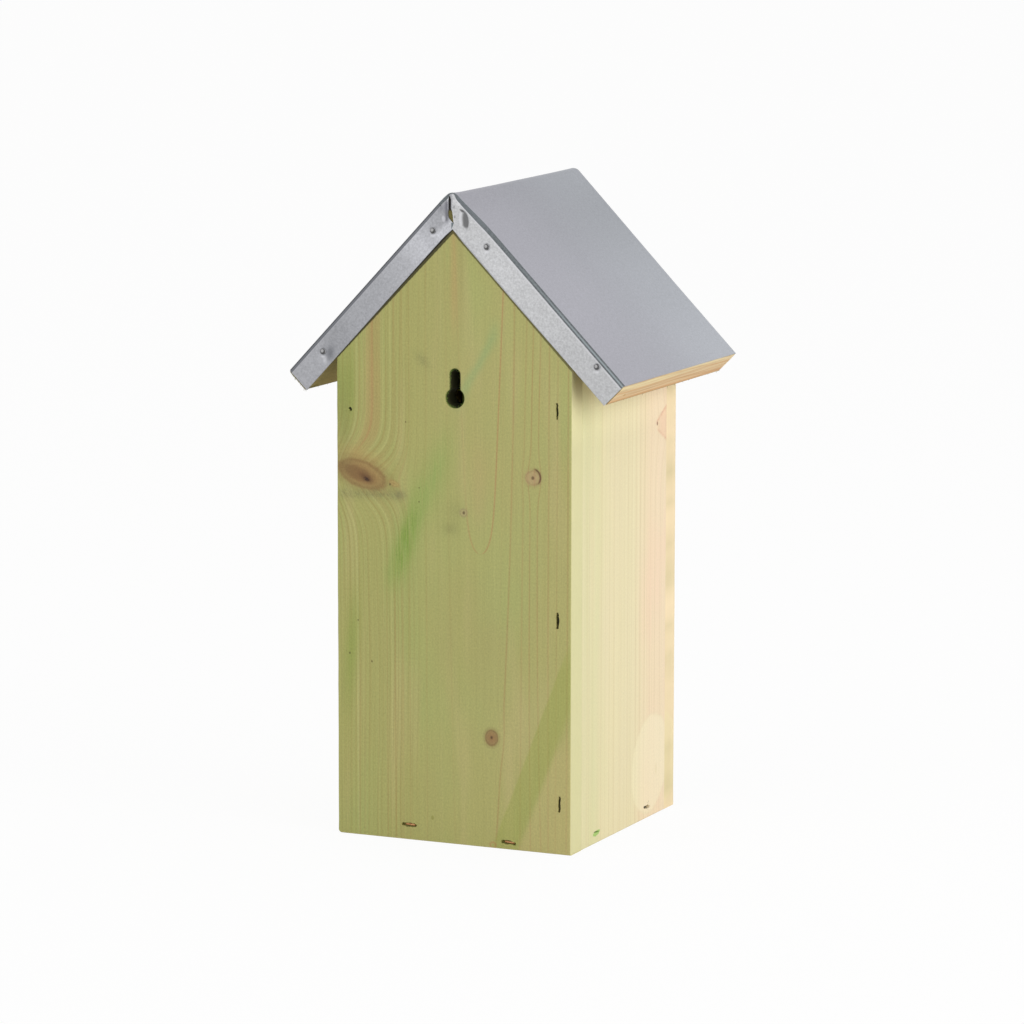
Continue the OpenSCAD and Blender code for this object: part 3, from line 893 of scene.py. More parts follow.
def back_knots(p, u, z, speckle):
    """The big knot by the edge with its hatched shadow, and four small ones. Returns three raised shares."""
    p.coat(p.spot(u, z, (-48.0, 180.5), (14.0, 5.0), -14.0) * 0.38, 186, 146, 96)
    raised = knot(p, u, z, (-47.0, 172.4), (15.2, 7.4), -17.0, (162, 132, 84), (128, 94, 58), 1.0, 1.0)
    halo = p.oval(u, z, (-49.0, 172.6), (11.4, 4.3), -20.0)
    halo = halo + (p.noise(u * 0.3, z * 1.1, 6.0, 3.0, 0.6) - 0.5) * 0.5
    p.coat(p.step(halo, 1.15, 0.45) * 0.75, 122, 90, 54)
    p.coat(p.disc(u, z, (-44.6, 170.6), (4.2, 2.0), -24.0, 1.2, 0.3) * 0.6, 92, 60, 34)
    pith = p.disc(u, z, (-44.6, 170.2), (1.9, 1.1), -25.0, 1.2, 0.4)
    p.coat(pith * p.step(speckle, 0.35, 0.55), 48, 24, 10)
    below = p.bell(z - 163.2 + (u + 42.0) * -0.02, 2.6) * p.step(u, -62.0, -56.0) * p.step(u, -22.0, -30.0)
    hatch = p.step(p.noise(u * 1.5 + z * 0.9, z * 0.5, 2.0, 3.0, 0.7), 0.45, 0.62)
    p.coat(below * (0.2 + hatch * 0.35), 116, 116, 84)
    p.coat(p.spot(u, z, (-27.6, 163.8), (3.6, 2.4)) * 0.45, 122, 118, 88)
    knot(p, u, z, (-30.5, 169.0), (3.2, 1.6), -20.0, (184, 152, 100), (150, 112, 70), 0.5, 2.0)
    low_raised = knot(p, u, z, (40.4, 176.0), (4.5, 4.2), 0.0, (180, 150, 116), (150, 112, 84), 0.62, 3.0)
    crescent = p.oval(u, z, (40.7, 176.2), (3.6, 4.0))
    rim = p.bell(crescent - 0.98, 0.13) * p.step(u, 40.3, 42.4) * p.step(z, 172.0, 175.0)
    p.coat(rim * 0.9, 88, 48, 38)
    knot(p, u, z, (5.2, 157.5), (2.3, 2.2), 0.0, (178, 160, 124), (132, 112, 92), 0.6, 4.0)
    third = knot(p, u, z, (19.3, 52.4), (3.9, 4.5), 0.0, (146, 110, 72), (110, 72, 48), 0.9, 5.0)
    return raised, low_raised, third


def back_specks(p, u, z, speckle):
    """Dots, a ring, soft grey patches, a smudge and fine grime."""
    dots = ((-32.5, 168.5, 0.55), (40.4, 176.0, 0.8), (5.4, 157.5, 0.75), (-24.3, 198.3, 0.4),
            (19.3, 52.6, 0.6), (-17.5, 167.8, 0.35), (-17.6, 161.2, 0.4), (-49.5, 103.0, 0.4),
            (-53.9, 87.0, 0.5), (-42.4, 83.8, 0.5))
    for x, y, r in dots:
        p.coat(p.disc(u, z, (x, y), (r, r * 1.2)) * 0.66, 80, 64, 38)
    p.coat(p.disc(u, z, (-11.2, 11.6), (0.8, 1.2)) * 0.5, 132, 132, 60)
    ring = p.bell(p.oval(u, z, (19.9, 1.5), (1.5, 1.4)) - 0.9, 0.3)
    p.coat(ring * 0.5, 168, 112, 78)
    for x, y, wide, high, strength in ((-1.6, 149.6, 4.6, 3.4, 0.42), (0.4, 158.0, 5.5, 5.5, 0.24),
                                       (-56.0, 197.0, 4.2, 26.0, 0.3), (15.0, 96.0, 26.0, 40.0, 0.1)):
        soft = p.spot(u, z, (x, y), (wide, high)) * p.step(speckle, 0.34, 0.6, 0.6, 1.0)
        p.coat(soft * strength, 124, 126, 80)
    smudge = p.spot(u, z, (-15.6, 227.8), (5.0, 2.6), -42.0) * p.step(speckle, 0.42, 0.6, 0.3, 1.0)
    p.coat(smudge * 0.5, 120, 122, 84)
    grime = p.step(p.noise(u * 0.7, z * 0.35, 21.0, 4.0, 0.7), 0.66, 0.76)
    p.coat(grime * 0.22, 118, 120, 66)


def back_shadow(p, pitch):
    """Dirt and shade in the corner under the flange."""
    under = (SHEET_Z - p.z) * math.cos(pitch) - abs(p.x) * math.sin(pitch)
    under = under + (p.noise(p.x * 0.9, 2.0, 5.0, 3.0, 0.7) - 0.5) * 0.9
    strip = p.step(p.x, -6.0, 6.0, 0.7, 0.94)
    p.coat(p.step(under, 15.1, 14.6) * strip, 58, 54, 22)
    p.coat(p.step(under, 13.9, 13.4), 34, 30, 16)


def back_rims(p, u, z, deep, streaks, fibre, sand):
    """Pale edge towards the shown side, painted lighter towards its top against the roof's shadow and with
    painted shade at its very top under the flange, fresh wood at the foot and painted shade on the keyhole's
    inner walls.
    """
    edge = p.step(-p.x, HALF_W - 0.45, HALF_W)
    pale_edge_and_shade = p.mix(p.step(streaks, 0.3, 0.7), srgb(206, 202, 153), srgb(216, 206, 163))
    pale_edge_and_shade = p.scale(pale_edge_and_shade, fibre * 0.1 + sand * 0.1 + 0.9)
    # Painted light: lighter towards the top, where the roof's shadow falls.
    pale_edge_and_shade = p.scale(pale_edge_and_shade, p.step(p.z, 186.0, 205.0, 1.0, 1.14))
    # Painted shade at the top of the edge, under the flange.
    pale_edge_and_shade = p.mix(p.step(p.z, 208.0, 222.0) * 0.6, pale_edge_and_shade, srgb(132, 124, 78))
    p.tone = p.mix(edge, p.tone, pale_edge_and_shade)
    cut = p.step(p.z, 0.9, 0.25)
    p.coat(cut * 0.5, 196, 186, 126)
    # Painted shade on the keyhole's inner walls, darker deeper in.
    keyhole_wall_shade = p.step(deep, 0.5, 1.6) * p.step(abs(u), 10.0, 8.0) * p.step(abs(z - 214.0), 14.0, 12.0)
    p.coat(keyhole_wall_shade * 0.92, 38, 40, 14)


def back_finish(finish):
    """Tinted pine of the back panel, its base darker partly as painted shade of this face, with its knots,
    stains and ring lines where they lie.
    """
    p = Paint("back_panel_pine")
    deep = HALF_D - p.y
    u, z = p.z * BACK_LEAN - p.x - BACK_SHIFT, p.z * BACK_STRETCH
    a = back_course(p, u, z)
    rings, fibre, drift, speckle = pine(p, a, deep, z, (13.6, 22.0), 2.3, 0.0, 2.0)
    left_side = p.step(a, -8.0, -34.0)
    # Base pine, darker partly as painted shade of the back face.
    p.tone = p.mix(drift, finish.back_pine, srgb(172, 172, 108))
    p.coat(p.step(p.noise(u * 0.03, z * 0.012, 4.0, 2.0), 0.42, 0.72) * 0.45, 163, 176, 110)
    p.coat(p.step(p.noise(u * 0.09, z * 0.01, 9.0, 1.0), 0.5, 0.8) * 0.4, 190, 178, 128)
    p.coat(rings * (0.08 + left_side * 0.5), 158, 142, 88)

    streaks = p.noise(a * 0.55, 3.0, z * 0.002, 3.0, 0.65)
    p.coat(p.step(streaks, 0.52, 0.70) * (0.12 + left_side * 0.3), 150, 146, 82)
    p.coat(p.step(streaks, 0.46, 0.32) * (0.1 + left_side * 0.25), 192, 190, 130)
    back_lines(p, a, z)
    back_cathedral(p, u, z)
    back_bands(p, u, z, a)
    back_stains(p, u, z)
    raised, low_raised, third = back_knots(p, u, z, speckle)
    back_specks(p, u, z, speckle)
    sand = p.noise(u * 1.25, deep, z * 0.95, 3.0, 0.7)
    p.vary(fibre * 0.26 + sand * 0.55 + 0.6)
    tint = p.mix(p.step(u, -40.0, 35.0), (0.99, 0.975, 0.88), (1.06, 1.02, 0.99))
    p.tone = p.mix(1.0, p.tone, tint, "MULTIPLY")
    back_shadow(p, finish.id_data.butterfly_roof.pitch)
    back_rims(p, u, z, deep, streaks, fibre, sand)
    raised = p.most(raised, p.most(low_raised, third))
    height = fibre * 0.5 + rings * left_side * 0.5 + raised * 0.4 + speckle * 0.2
    return p.finish(0.78 - raised * 0.12 + speckle * 0.08, height, 0.12)


def front_finish(finish):
    """The same tinted pine with its own figure, for the front panel."""
    p = Paint("front_panel_pine")
    u, z, deep = p.x, p.z, p.y + HALF_D
    far = p.oval(u, z, (33.0, 214.0), (9.0, 13.0), 8.0)
    low_far = p.oval(u, z, (-38.0, 48.0), (8.0, 12.0), -5.0)
    a = u - p.hump(far) * 6.0 + p.hump(low_far) * 5.0
    rings, fibre, drift, speckle = pine(p, a, deep, z, (-8.0, 26.0), 3.1, 0.02, 31.0)
    p.tone = p.mix(drift, finish.back_pine, srgb(176, 174, 112))
    p.coat(p.step(p.noise(u * 0.03, z * 0.012, 24.0, 2.0), 0.42, 0.72) * 0.5, 160, 176, 108)
    p.coat(rings * 0.5, 160, 130, 82)
    streaks = p.noise(a * 0.5, 6.0, z * 0.002, 3.0, 0.65)
    p.coat(p.step(streaks, 0.52, 0.7) * 0.28, 152, 148, 84)
    p.coat(p.step(streaks, 0.46, 0.32) * 0.25, 194, 190, 132)
    stain = p.step(p.noise(u * 0.05, z * 0.02, 44.0, 3.0, 0.6), 0.56, 0.72) * p.step(abs(u), 59.0, 56.0)
    p.coat(stain * 0.4, 136, 158, 78)
    raised = knot(p, u, z, (33.0, 214.0), (5.4, 6.2), 8.0, (158, 112, 62), (104, 64, 32), 0.95, 6.0)
    second = knot(p, u, z, (-38.0, 48.0), (4.4, 5.0), -5.0, (164, 124, 74), (112, 72, 40), 0.85, 7.0)
    third = knot(p, u, z, (-13.0, 185.0), (2.4, 2.8), 0.0, (176, 146, 98), (126, 90, 56), 0.7, 8.0)
    p.vary(fibre * 0.16 + speckle * 0.13 + 0.86)
    edge = p.step(abs(u), 59.55, 60.0)
    warm = p.mix(p.step(streaks, 0.3, 0.7), srgb(235, 213, 175), srgb(239, 218, 181))
    patch = p.step(p.oval(deep, z, (18.0, 26.0), (21.8, 23.5)), 1.05, 0.96)
    warm = p.mix(patch * 0.5, warm, srgb(242, 226, 182))
    # The edge is painted lighter towards the top, where the roof's shadow falls: painted light.
    p.tone = p.mix(edge, p.tone, p.scale(warm, (fibre * 0.1 + 0.97) * p.step(z, 186.0, 206.0, 1.0, 1.12)))
    # Painted shade: darker deeper than a millimetre into the board, on its inner face and in its slots.
    p.coat(p.step(deep, 1.0, 6.0) * (1.0 - edge) * 0.35, 140, 134, 84)
    raised = p.most(raised, p.most(second, third))
    height = fibre * 0.5 + rings * 0.5 + raised * 0.4 + speckle * 0.2
    return p.finish(0.78 - raised * 0.12 + speckle * 0.08, height, 0.12)


def shown_side_marks(p, v, z):
    """The pale egg-shaped patch, the wedge by the small knot, the green staple mark and the roof's shade."""
    ragged = (p.noise(v * 0.12, z * 0.12, 3.0, 2.0) - 0.5) * 0.14
    egg = p.oval(v + (z - 27.0) * -0.12, z, (93.7, 26.0), (21.8, 23.5), 0.0) + ragged
    p.coat(p.step(egg, 1.05, 0.96) * 0.46, 240, 233, 188)
    p.coat(p.bell(egg - 1.0, 0.035) * 0.12, 214, 202, 150)
    reach = v - 98.0
    top = p.bell(z - 189.5 - reach * 0.535, 0.9) * p.step(v, 97.3, 101.5)
    bottom = p.bell(z - 188.5 + reach * 0.56, 0.8) * p.step(v, 98.5, 104.0)
    wedge = p.step(v, 98.0, 107.0) * p.step(z - 189.5 - reach * 0.535, 0.6, -0.6)
    wedge = wedge * p.step(z - 188.5 + reach * 0.56, -0.6, 0.6)
    p.coat(wedge * 0.5, 232, 192, 150)
    broken = p.step(p.noise(v * 0.6, z * 0.6, 8.0, 3.0, 0.7), 0.4, 0.62)
    p.coat(p.most(top, bottom * 0.7) * (0.2 + broken * 0.4), 200, 132, 92)
    p.coat(p.disc(v, z, (100.8, 189.6), (0.8, 1.0), 0.0, 1.3, 0.5) * 0.85, 118, 72, 44)
    mark = p.oval(v, z, (30.0, 4.8), (4.2, 1.3), 6.0) + (p.noise(v, z, 1.0, 2.0) - 0.5) * 0.9
    p.coat(p.step(mark, 1.1, 0.8) * 0.85, 150, 196, 92)
    p.coat(p.disc(v, z, (101.5, 22.0), (0.4, 3.2), 0.0, 1.2, 0.4) * 0.5, 196, 178, 96)
    shaded = p.step(v, 34.0, 14.0) * p.step(z + v * 0.95, 204.0, 222.0)
    p.coat(shaded * 0.1, 158, 148, 92)


def side_finish(finish, side):
    """Pale pine of a side panel. The photographed side is -1, and the other has its own figure."""
    p = Paint("left_side_pine" if side < 0 else "right_side_pine")
    v, z, deep = HALF_D - p.y, p.z, HALF_W - p.x * side
    seed = 51.0 if side < 0 else 67.0
    far = p.oval(v, z, (116.0, 188.5), (17.0, 19.0))
    a = v - p.hump(far) * 7.0
    rings, fibre, drift, speckle = pine(p, a, deep, z, (40.0, 60.0), 1.9, 0.0, seed)
    pink_side = p.step(a, 70.0, 95.0)
    p.tone = p.mix(drift, finish.side_pine, srgb(229, 221, 172))
    p.coat(p.step(v, 34.0, 12.0) * 0.5, 218, 220, 168)
    p.coat(pink_side * 0.62, 238, 214, 172)
    blotch = p.step(p.noise(v * 0.03, z * 0.012, seed, 2.0), 0.45, 0.75)
    p.coat(blotch * pink_side * 0.4, 242, 206, 172)
    p.coat(rings * 0.24, 212, 196, 140)
    streaks = p.noise(a * 0.62, seed, z * 0.0016, 3.0, 0.66)
    p.coat(p.step(streaks, 0.5, 0.72) * 0.4, 214, 202, 146)
    p.coat(p.step(streaks, 0.48, 0.28) * 0.32, 240, 233, 192)
    faint = p.noise(seed, 1.0, z * 0.03, 2.0) * 0.8 + 0.5
    for start, width, strength in ((20.8, 0.35, 0.3), (34.9, 0.4, 0.32), (44.0, 0.3, 0.2), (50.3, 0.4, 0.28),
                                   (57.5, 0.3, 0.25), (66.0, 0.5, 0.3), (70.4, 0.35, 0.34), (75.7, 0.4, 0.38),
                                   (80.6, 0.6, 0.4), (86.0, 0.35, 0.3), (92.8, 0.4, 0.34), (99.0, 0.4, 0.26),
                                   (105.2, 0.5, 0.3)):
        p.coat(p.bell(a - start, width) * faint * strength * 0.75, 196, 168, 112)
    green = p.step(p.noise(v * 0.05, z * 0.008, seed + 5.0, 2.0), 0.42, 0.8) * p.step(v, 70.0, 20.0)
    p.coat(green * 0.4, 206, 216, 152)
    if side < 0:
        shown_side_marks(p, v, z)
    else:
        knot(p, v, z, (38.0, 92.0), (3.8, 4.6), 0.0, (206, 160, 104), (150, 100, 60), 0.85, 9.0)
    sand = p.noise(v * 1.25, deep, z * 0.95, 3.0, 0.7)
    # Painted light: lighter towards the top, where the roof's shadow falls.
    p.vary((fibre * 0.12 + sand * 0.28 + 0.8) * p.step(z, 184.0, 206.0, 1.0, 1.14))
    tint = p.mix(p.step(v, 4.0, 50.0), (0.885, 0.855, 0.88), (0.925, 0.905, 0.965))
    tint = p.mix(p.step(v, 58.0, 108.0), tint, (0.945, 0.933, 1.07))
    p.tone = p.mix(1.0, p.tone, tint, "MULTIPLY")
    # Painted shade: darker deeper than a millimetre into the board, on its inner face and the inner half of
    # its edges.
    p.coat(p.step(deep, 1.0, 6.0) * 0.4, 196, 176, 120)
    height = fibre * 0.5 + streaks * 0.5 + speckle * 0.2
    return p.finish(0.72 + speckle * 0.1, height, 0.08)


def roof_finish(finish, side):
    """Warm pine of a roof board, grain along the house, with painted shade on its underside, and its back end
    partly its own darker end grain, partly painted shade, and black as painted shadow where the tear shows
    it.
    """
    p = Paint("left_roof_pine" if side < 0 else "right_roof_pine")
    seed = 81.0 if side < 0 else 93.0
    c, k = math.cos(finish.id_data.butterfly_roof.pitch), math.sin(finish.id_data.butterfly_roof.pitch)
    out = p.x * side
    s = out * c + (BOARD_Z - p.z) * k
    n = (BOARD_Z - p.z) * c - out * k
    y = p.y
    lean = n + y * -0.012
    rings, fibre, drift, speckle = pine(p, n, s, y, (-16.0, 70.0), 3.0, -0.014, seed)
    p.tone = p.mix(drift, finish.roof_pine, srgb(232, 204, 146))
    p.coat(p.step(lean, 5.6, 2.0) * 0.55, 240, 224, 166)
    p.coat(p.step(lean, 6.5, 10.5) * 0.5, 222, 176, 118)
    p.coat(rings * 0.55, 196, 138, 74)
    for level, width, strength in ((1.9, 0.4, 0.3), (4.6, 0.55, 0.5), (7.4, 0.5, 0.4), (10.9, 0.8, 0.55)):
        wander = (p.noise(level, 2.0, y * 0.012, 1.0) - 0.5) * 2.2
        p.coat(p.bell(lean + wander - level, width) * strength, 204, 140, 80)
    p.vary(fibre * 0.12 + speckle * 0.1 + 0.9)
    # Painted shade on the underside and the lowest millimetre of the board.
    p.coat(p.step(n, 11.2, 11.9) * (0.88 if side > 0 else 0.6), 136, 126, 76)
    # The back end: darker olive, partly its own end grain and partly painted shade behind the flange, and
    # near-black painted shadow high up where the tear shows it.
    ends = p.step(y, HALF_D - 0.7, HALF_D - 0.2)
    sawn = p.mix(p.step(speckle, 0.3, 0.7), srgb(92, 86, 40), srgb(126, 118, 62))
    p.tone = p.mix(ends, p.tone, p.mix(p.step(p.z, 296.6, 298.0), sawn, srgb(16, 14, 10)))
    outer = p.step(s, 120.6, 121.6)
    if side < 0:
        stripe = p.step(p.noise(lean * 1.1, y * 0.02, 4.0, 3.0, 0.6), 0.42, 0.66)
        p.coat(outer * stripe * 0.45, 178, 132, 84)
        p.tone = p.mix(outer, p.tone, p.mix(1.0, p.tone, (0.95, 0.985, 1.14), "MULTIPLY"))
    else:
        p.coat(outer * p.step(y, 44.0, 58.0) * 0.85, 112, 104, 52)
    spot = p.oval(y, n, (48.0, 7.8), (1.1, 0.8)) if side < 0 else p.oval(y, n, (-20.0, 6.0), (1.4, 0.9))
    p.coat(p.step(spot, 1.2, 0.5) * outer * 0.8, 170, 112, 30)
    height = fibre * 0.5 + rings * 0.5 + speckle * 0.3
    return p.finish(0.74 + speckle * 0.1, height, 0.12)


def floor_panel_finish(finish):
    """Tinted pine with its grain across the house."""
    p = Paint("floor_panel_pine")
    rings, fibre, drift, speckle = pine(p, p.y, p.z, p.x, (12.0, -24.0), 2.8, 0.02, 105.0)
    p.tone = p.mix(drift, finish.back_pine, srgb(186, 182, 120))
    p.coat(rings * 0.5, 160, 132, 84)
    p.coat(p.step(p.noise(p.x * 0.03, p.y * 0.05, 7.0, 2.0), 0.5, 0.7) * 0.4, 150, 164, 92)
    raised = knot(p, p.x, p.y, (18.0, -21.0), (5.2, 4.2), 0.0, (160, 112, 62), (104, 64, 34), 0.9, 10.0)
    p.vary(fibre * 0.16 + speckle * 0.13 + 0.86)
    return p.finish(0.78 + speckle * 0.08, fibre * 0.5 + rings * 0.5 + raised * 0.4, 0.12)


def zinc_slopes(p, finish, s, n, mottle, fine):
    """The slopes, with painted light: lighter and darker down their length and from back to front."""
    streak = p.noise(s * 0.012, p.y * 1.6, n * 0.1, 3.0, 0.65)
    away = p.step(p.y, ROOF_BACK_Y, ROOF_FRONT_Y)
    # Painted light: the slopes' brightness down their length, at the back and at the front end.
    near_painted_light = p.course(s, ((4.0, 0.908), (25.0, 0.985), (75.0, 1.033), (118.0, 1.0)))
    far_painted_light = p.course(s, ((4.0, 0.945), (25.0, 0.904), (75.0, 1.038), (118.0, 1.134)))
    level = near_painted_light + (far_painted_light - near_painted_light) * away - p.bell(away - 0.45, 0.25) * 0.03
    base = p.mix(away, finish.zinc, srgb(168, 171, 177))
    p.tone = p.scale(base, level * (streak * 0.12 + mottle * 0.5 + fine * 0.3 + 0.54))


def zinc_flanges(p, finish, s, n, flange, plus, mottle, fine):
    """The flanges, painted brighter than the slopes and each with its own painted run of light."""
    # Painted light: each flange's own run of light.
    left = p.course(s, ((16.0, 0.7), (24.0, 0.84), (31.0, 0.96), (45.0, 0.78), (62.0, 0.71), (78.0, 0.69),
                        (92.0, 0.62), (106.0, 0.72), (118.0, 0.72)))
    left = left + p.step(n, 8.0, 11.0) * p.step(s, 26.0, 20.0) * 0.28
    right = p.course(s, ((16.0, 0.98), (45.0, 1.04), (62.0, 1.0), (78.0, 0.98), (92.0, 0.93), (118.0, 0.91)))
    level = right + (left - right) * plus
    shade = p.mix(plus, finish.zinc_flange, srgb(198, 199, 204))
    shade = p.scale(shade, level * (mottle * 0.75 + fine * 0.3 + 0.475))
    p.tone = p.mix(flange, p.tone, shade)


def zinc_bends(p, s, n, bent, flange, plus, mottle):
    """The bends, dark partly as the crease's duller zinc and partly as painted reflection: two dark lines
    with a lighter one between, all dark on the +X side, and a painted glint on the flange just below the
    bend.
    """
    # The bend's dark band: partly the crease's duller zinc, partly painted reflection.
    scuffed = p.step(mottle, 0.35, 0.65)
    dark = p.mix(scuffed, srgb(94, 99, 101), srgb(116, 121, 124))
    band = p.step(bent, 0.04, 0.12) * p.step(bent, 1.0, 0.97)
    between = p.step(bent, 0.42, 0.5) * p.step(bent, 0.74, 0.68) * p.step(s, 25.0, 110.0) * (1.0 - plus)
    dark = p.mix(between, dark, srgb(140, 148, 151))
    inner_half = p.mix(p.step(bent, 0.5, 0.66), srgb(78, 80, 84), srgb(116, 118, 123))
    dark = p.mix(plus * p.step(s, 8.0, 14.0), dark, inner_half)
    dark = p.mix(p.step(s, 35.0, 20.0) * (1.0 - plus) * 0.5, dark, srgb(118, 124, 128))
    p.tone = p.mix(band, p.tone, dark)
    # Painted glint on the flange just below the bend.
    facing_out = flange * p.step(n, 1.2, 1.7)
    glint = facing_out * p.bell(n - 2.0, 0.35) * (1.0 - plus * 0.75)
    p.coat(glint * 0.7, 212, 212, 216)


def zinc_tear(p, u, z, bent, flange):
    """Round the tear, painted light and shade: painted highlights on the lips, painted shade along the folds
    on both sides, and the hollow in painted shade with a painted highlight on its edge.
    """
    # Painted highlights on the beaded lip and on the inner edge.
    bead_highlights = p.step(p.math("SINE", z * 6.3), -0.4, 0.6, 0.45, 1.0)
    lip = p.bell(u + 2.42, 0.22) * p.step(z, 297.2, 298.4) * p.step(z, 303.4, 302.6)
    p.coat(lip * bead_highlights * flange * 0.8, 226, 226, 230)
    inner = p.bell(u - 0.5 + (z - 293.2) * 0.13, 0.24) * p.step(z, 291.0, 291.8) * p.step(z, 296.8, 295.6)
    p.coat(inner * flange * 0.8, 222, 222, 226)
    # Painted shade on the bent facet and along the fold left of the slit.
    wedge = p.step(u, -0.7, -0.5) * p.step(z, 291.8, 291.5) * p.step(z - 288.8 - (u + 0.5) * 2.28, -0.2, 0.2)
    p.coat(wedge * flange, 110, 120, 124)
    fold = p.bell(u + 3.1 + (z - 296.6) * 0.02, 0.85) * p.step(z, 290.6, 293.4) * p.step(z, 302.6, 300.0)
    p.coat(fold * flange * 0.85, 112, 112, 120)
    p.coat(p.spot(u, z, (-5.6, 298.4), (2.6, 2.4), 30.0, 0.8) * flange * 0.5, 128, 129, 136)
    # Painted highlights and painted shade round the slit, and a near-black painted shadow at its top.
    for a, b, wide, high, strength, colour in (
        (-4.5, 293.4, 1.0, 1.6, 0.45, (224, 224, 230)), (0.72, 298.9, 0.45, 0.75, 0.6, (122, 122, 128)),
        (1.08, 294.5, 0.5, 0.7, 0.6, (122, 122, 128)), (1.0, 301.8, 1.1, 0.7, 0.5, (224, 224, 228)),
        (2.9, 300.3, 1.2, 0.9, 0.5, (220, 220, 224)), (4.1, 293.6, 0.8, 3.6, 0.55, (222, 222, 226)),
        (-6.15, 299.4, 0.4, 0.4, 0.8, (76, 76, 80)), (-1.5, 303.3, 0.5, 0.75, 1.0, (26, 26, 24)),
    ):
        spot = p.disc(u, z, (a, b), (wide, high))
        p.coat(spot * p.step(bent, 0.5, 0.8) * strength, *colour)
    # Painted shade in the hollow and its tip.
    hollow = p.step(p.oval(u, z, DENT[:2], DENT[2:]), 1.06, 0.84)
    straight = u - p.course(z, ((288.6, 1.6), (291.0, 0.2), (294.0, 0.0), (298.0, 0.6)))
    hollow = hollow * p.step(straight, 4.0, 5.6) * p.step(z, 288.4, 290.4)
    tip = p.disc(u, z, (4.9, 297.3), (1.5, 0.6), -35.0, 1.3, 0.5)
    p.coat(p.most(hollow, tip) * flange * 0.86, 98, 98, 99)


def zinc_nail_marks(p, flange, roof):
    """Painted shade in rings round the nails and painted highlights below them, and a painted shadow beside
    the lowest one with a painted highlight under it.
    """
    for side, s0, n0 in NAIL_PLACES:
        x0, z0 = on_plane(SHEET_Z, side, s0, n0, roof)
        # Painted shade round each dimple, and a painted highlight below it.
        ring = p.oval(p.x, p.z, (x0, z0), (1.0, 1.0))
        p.coat(p.step(ring, 2.1, 1.5) * flange * 0.3, 108, 109, 114)
        shine = p.spot(p.x, p.z, (x0, z0 - 2.5), (1.6, 0.7), 0.0, 0.8)
        p.coat(shine * flange * 0.5, 228, 228, 232)
    x0, z0 = on_plane(SHEET_Z, *NAIL_PLACES[3], roof)
    # Painted shadow beside the lowest nail, then a painted highlight under it.
    blotch = p.spot(p.x, p.z, (x0 - 3.7, z0 - 0.6), (2.9, 4.6), 12.0, 0.85)
    p.coat(blotch * flange * 0.68, 100, 102, 108)
    p.coat(p.spot(p.x, p.z, (x0 - 0.9, z0 - 4.0), (1.4, 2.0), 0.0, 0.8) * flange * 0.5, 222, 222, 226)


def zinc_finish(finish, roof):
    """Dull zinc: mottled on the slopes and flanges, with painted light and shade over it: the slopes' and
    flanges' runs of light, bends that are dark and scuffed, partly the duller crease and partly painted
    reflection, and painted highlights and shade round the tear and the nails. The sheet's own attribute says
    how far down the slope a place lies, how deep, and how far round a bend."""
    p = Paint("folded_zinc")
    split = p.node("ShaderNodeSeparateXYZ", None,
                   {0: p.node("ShaderNodeAttribute", {"attribute_name": "roof_place"}).outputs["Vector"]})
    along, n, share = (Value(p, split.outputs[i]) for i in range(3))
    s, bent = abs(along), abs(share)
    u, z = -p.x, p.z
    flange = p.step(bent, 0.96, 1.0)
    plus = p.step(along, -1.5, 1.5)
    mottle = p.grain(1.1, 3.0, 0.6)
    fine = p.grain(3.6, 2.0, 0.6)
    zinc_slopes(p, finish, s, n, mottle, fine)
    zinc_flanges(p, finish, s, n, flange, plus, mottle, fine)
    zinc_bends(p, s, n, bent, flange, plus, mottle)
    zinc_tear(p, u, z, bent, flange)
    zinc_nail_marks(p, flange, roof)
    # Darker along the flanges' lower edge.
    p.coat(p.step(n, 13.2, 13.4) * flange * 0.4, 120, 120, 126)
    rough = mottle * 0.1 + fine * 0.08 + 0.46
    height = mottle * flange * 0.5 + fine * 0.5
    return p.finish(rough, height, 0.03, 0.82)


def metal_finish(name, colour, dark, rough, shade_from=None):
    """Small fixings: dull metal with darker, dirtier patches, and near-black painted shade farther from X = 0
    than the last argument, where the staples lie deep in their slits.
    """
    p = Paint(name)
    mottle = p.grain(1.7, 3.0, 0.65)
    fine = p.grain(7.0)
    p.tone = p.mix(p.step(mottle, 0.42, 0.66) * 0.6, colour, dark)
    p.vary(fine * 0.3 + 0.85)
    if shade_from:
        # Painted shade: near-black on the staples farther out, which lie deep in their narrow slits.
        p.coat(p.step(abs(p.x), shade_from - 0.5, shade_from), 44, 42, 26)
    return p.finish(mottle * 0.25 + rough, fine, 0.02, 0.85)


def nail_finish(finish, roof):
    """Nail heads: a painted highlight a little up and towards +X, a dark ring of painted shade round it, and
    grey like the sheet outside.
    """
    p = Paint("nail_steel_finish")
    wander = (p.grain(1.3, 3.0, 0.6) - 0.5) * 0.9
    p.tone = p.scale(finish.steel, 1.0)
    for side, s, n in NAIL_PLACES:
        x, z = on_plane(SHEET_Z, side, s, n, roof)
        far = p.oval(p.x, p.z, (x, z), (1.0, 1.0)) + wander
        here = p.step(far, 2.6, 2.2)
        p.coat(here, 164, 165, 168)
        # Painted shade: a dark ring round the head.
        p.coat(here * p.step(far, 1.5, 1.15), 82, 82, 83)
        # Painted highlight, a little up and towards +X.
        lit = p.oval(p.x, p.z, (x + 0.3, z + 0.3), (0.85, 0.8)) + wander * 0.7
        p.coat(here * p.step(lit, 1.15, 0.75), 172, 172, 173)
    return p.finish(0.6, wander, 0.06, 0.4)


def fibre_finish(name, pale, dark):
    """Torn wood: pale fibres, darker towards green."""
    p = Paint(name)
    mottle = p.grain(0.9)
    p.tone = p.mix(p.step(mottle, 0.35, 0.65), pale, dark)
    return p.finish(0.85)


# The pieces


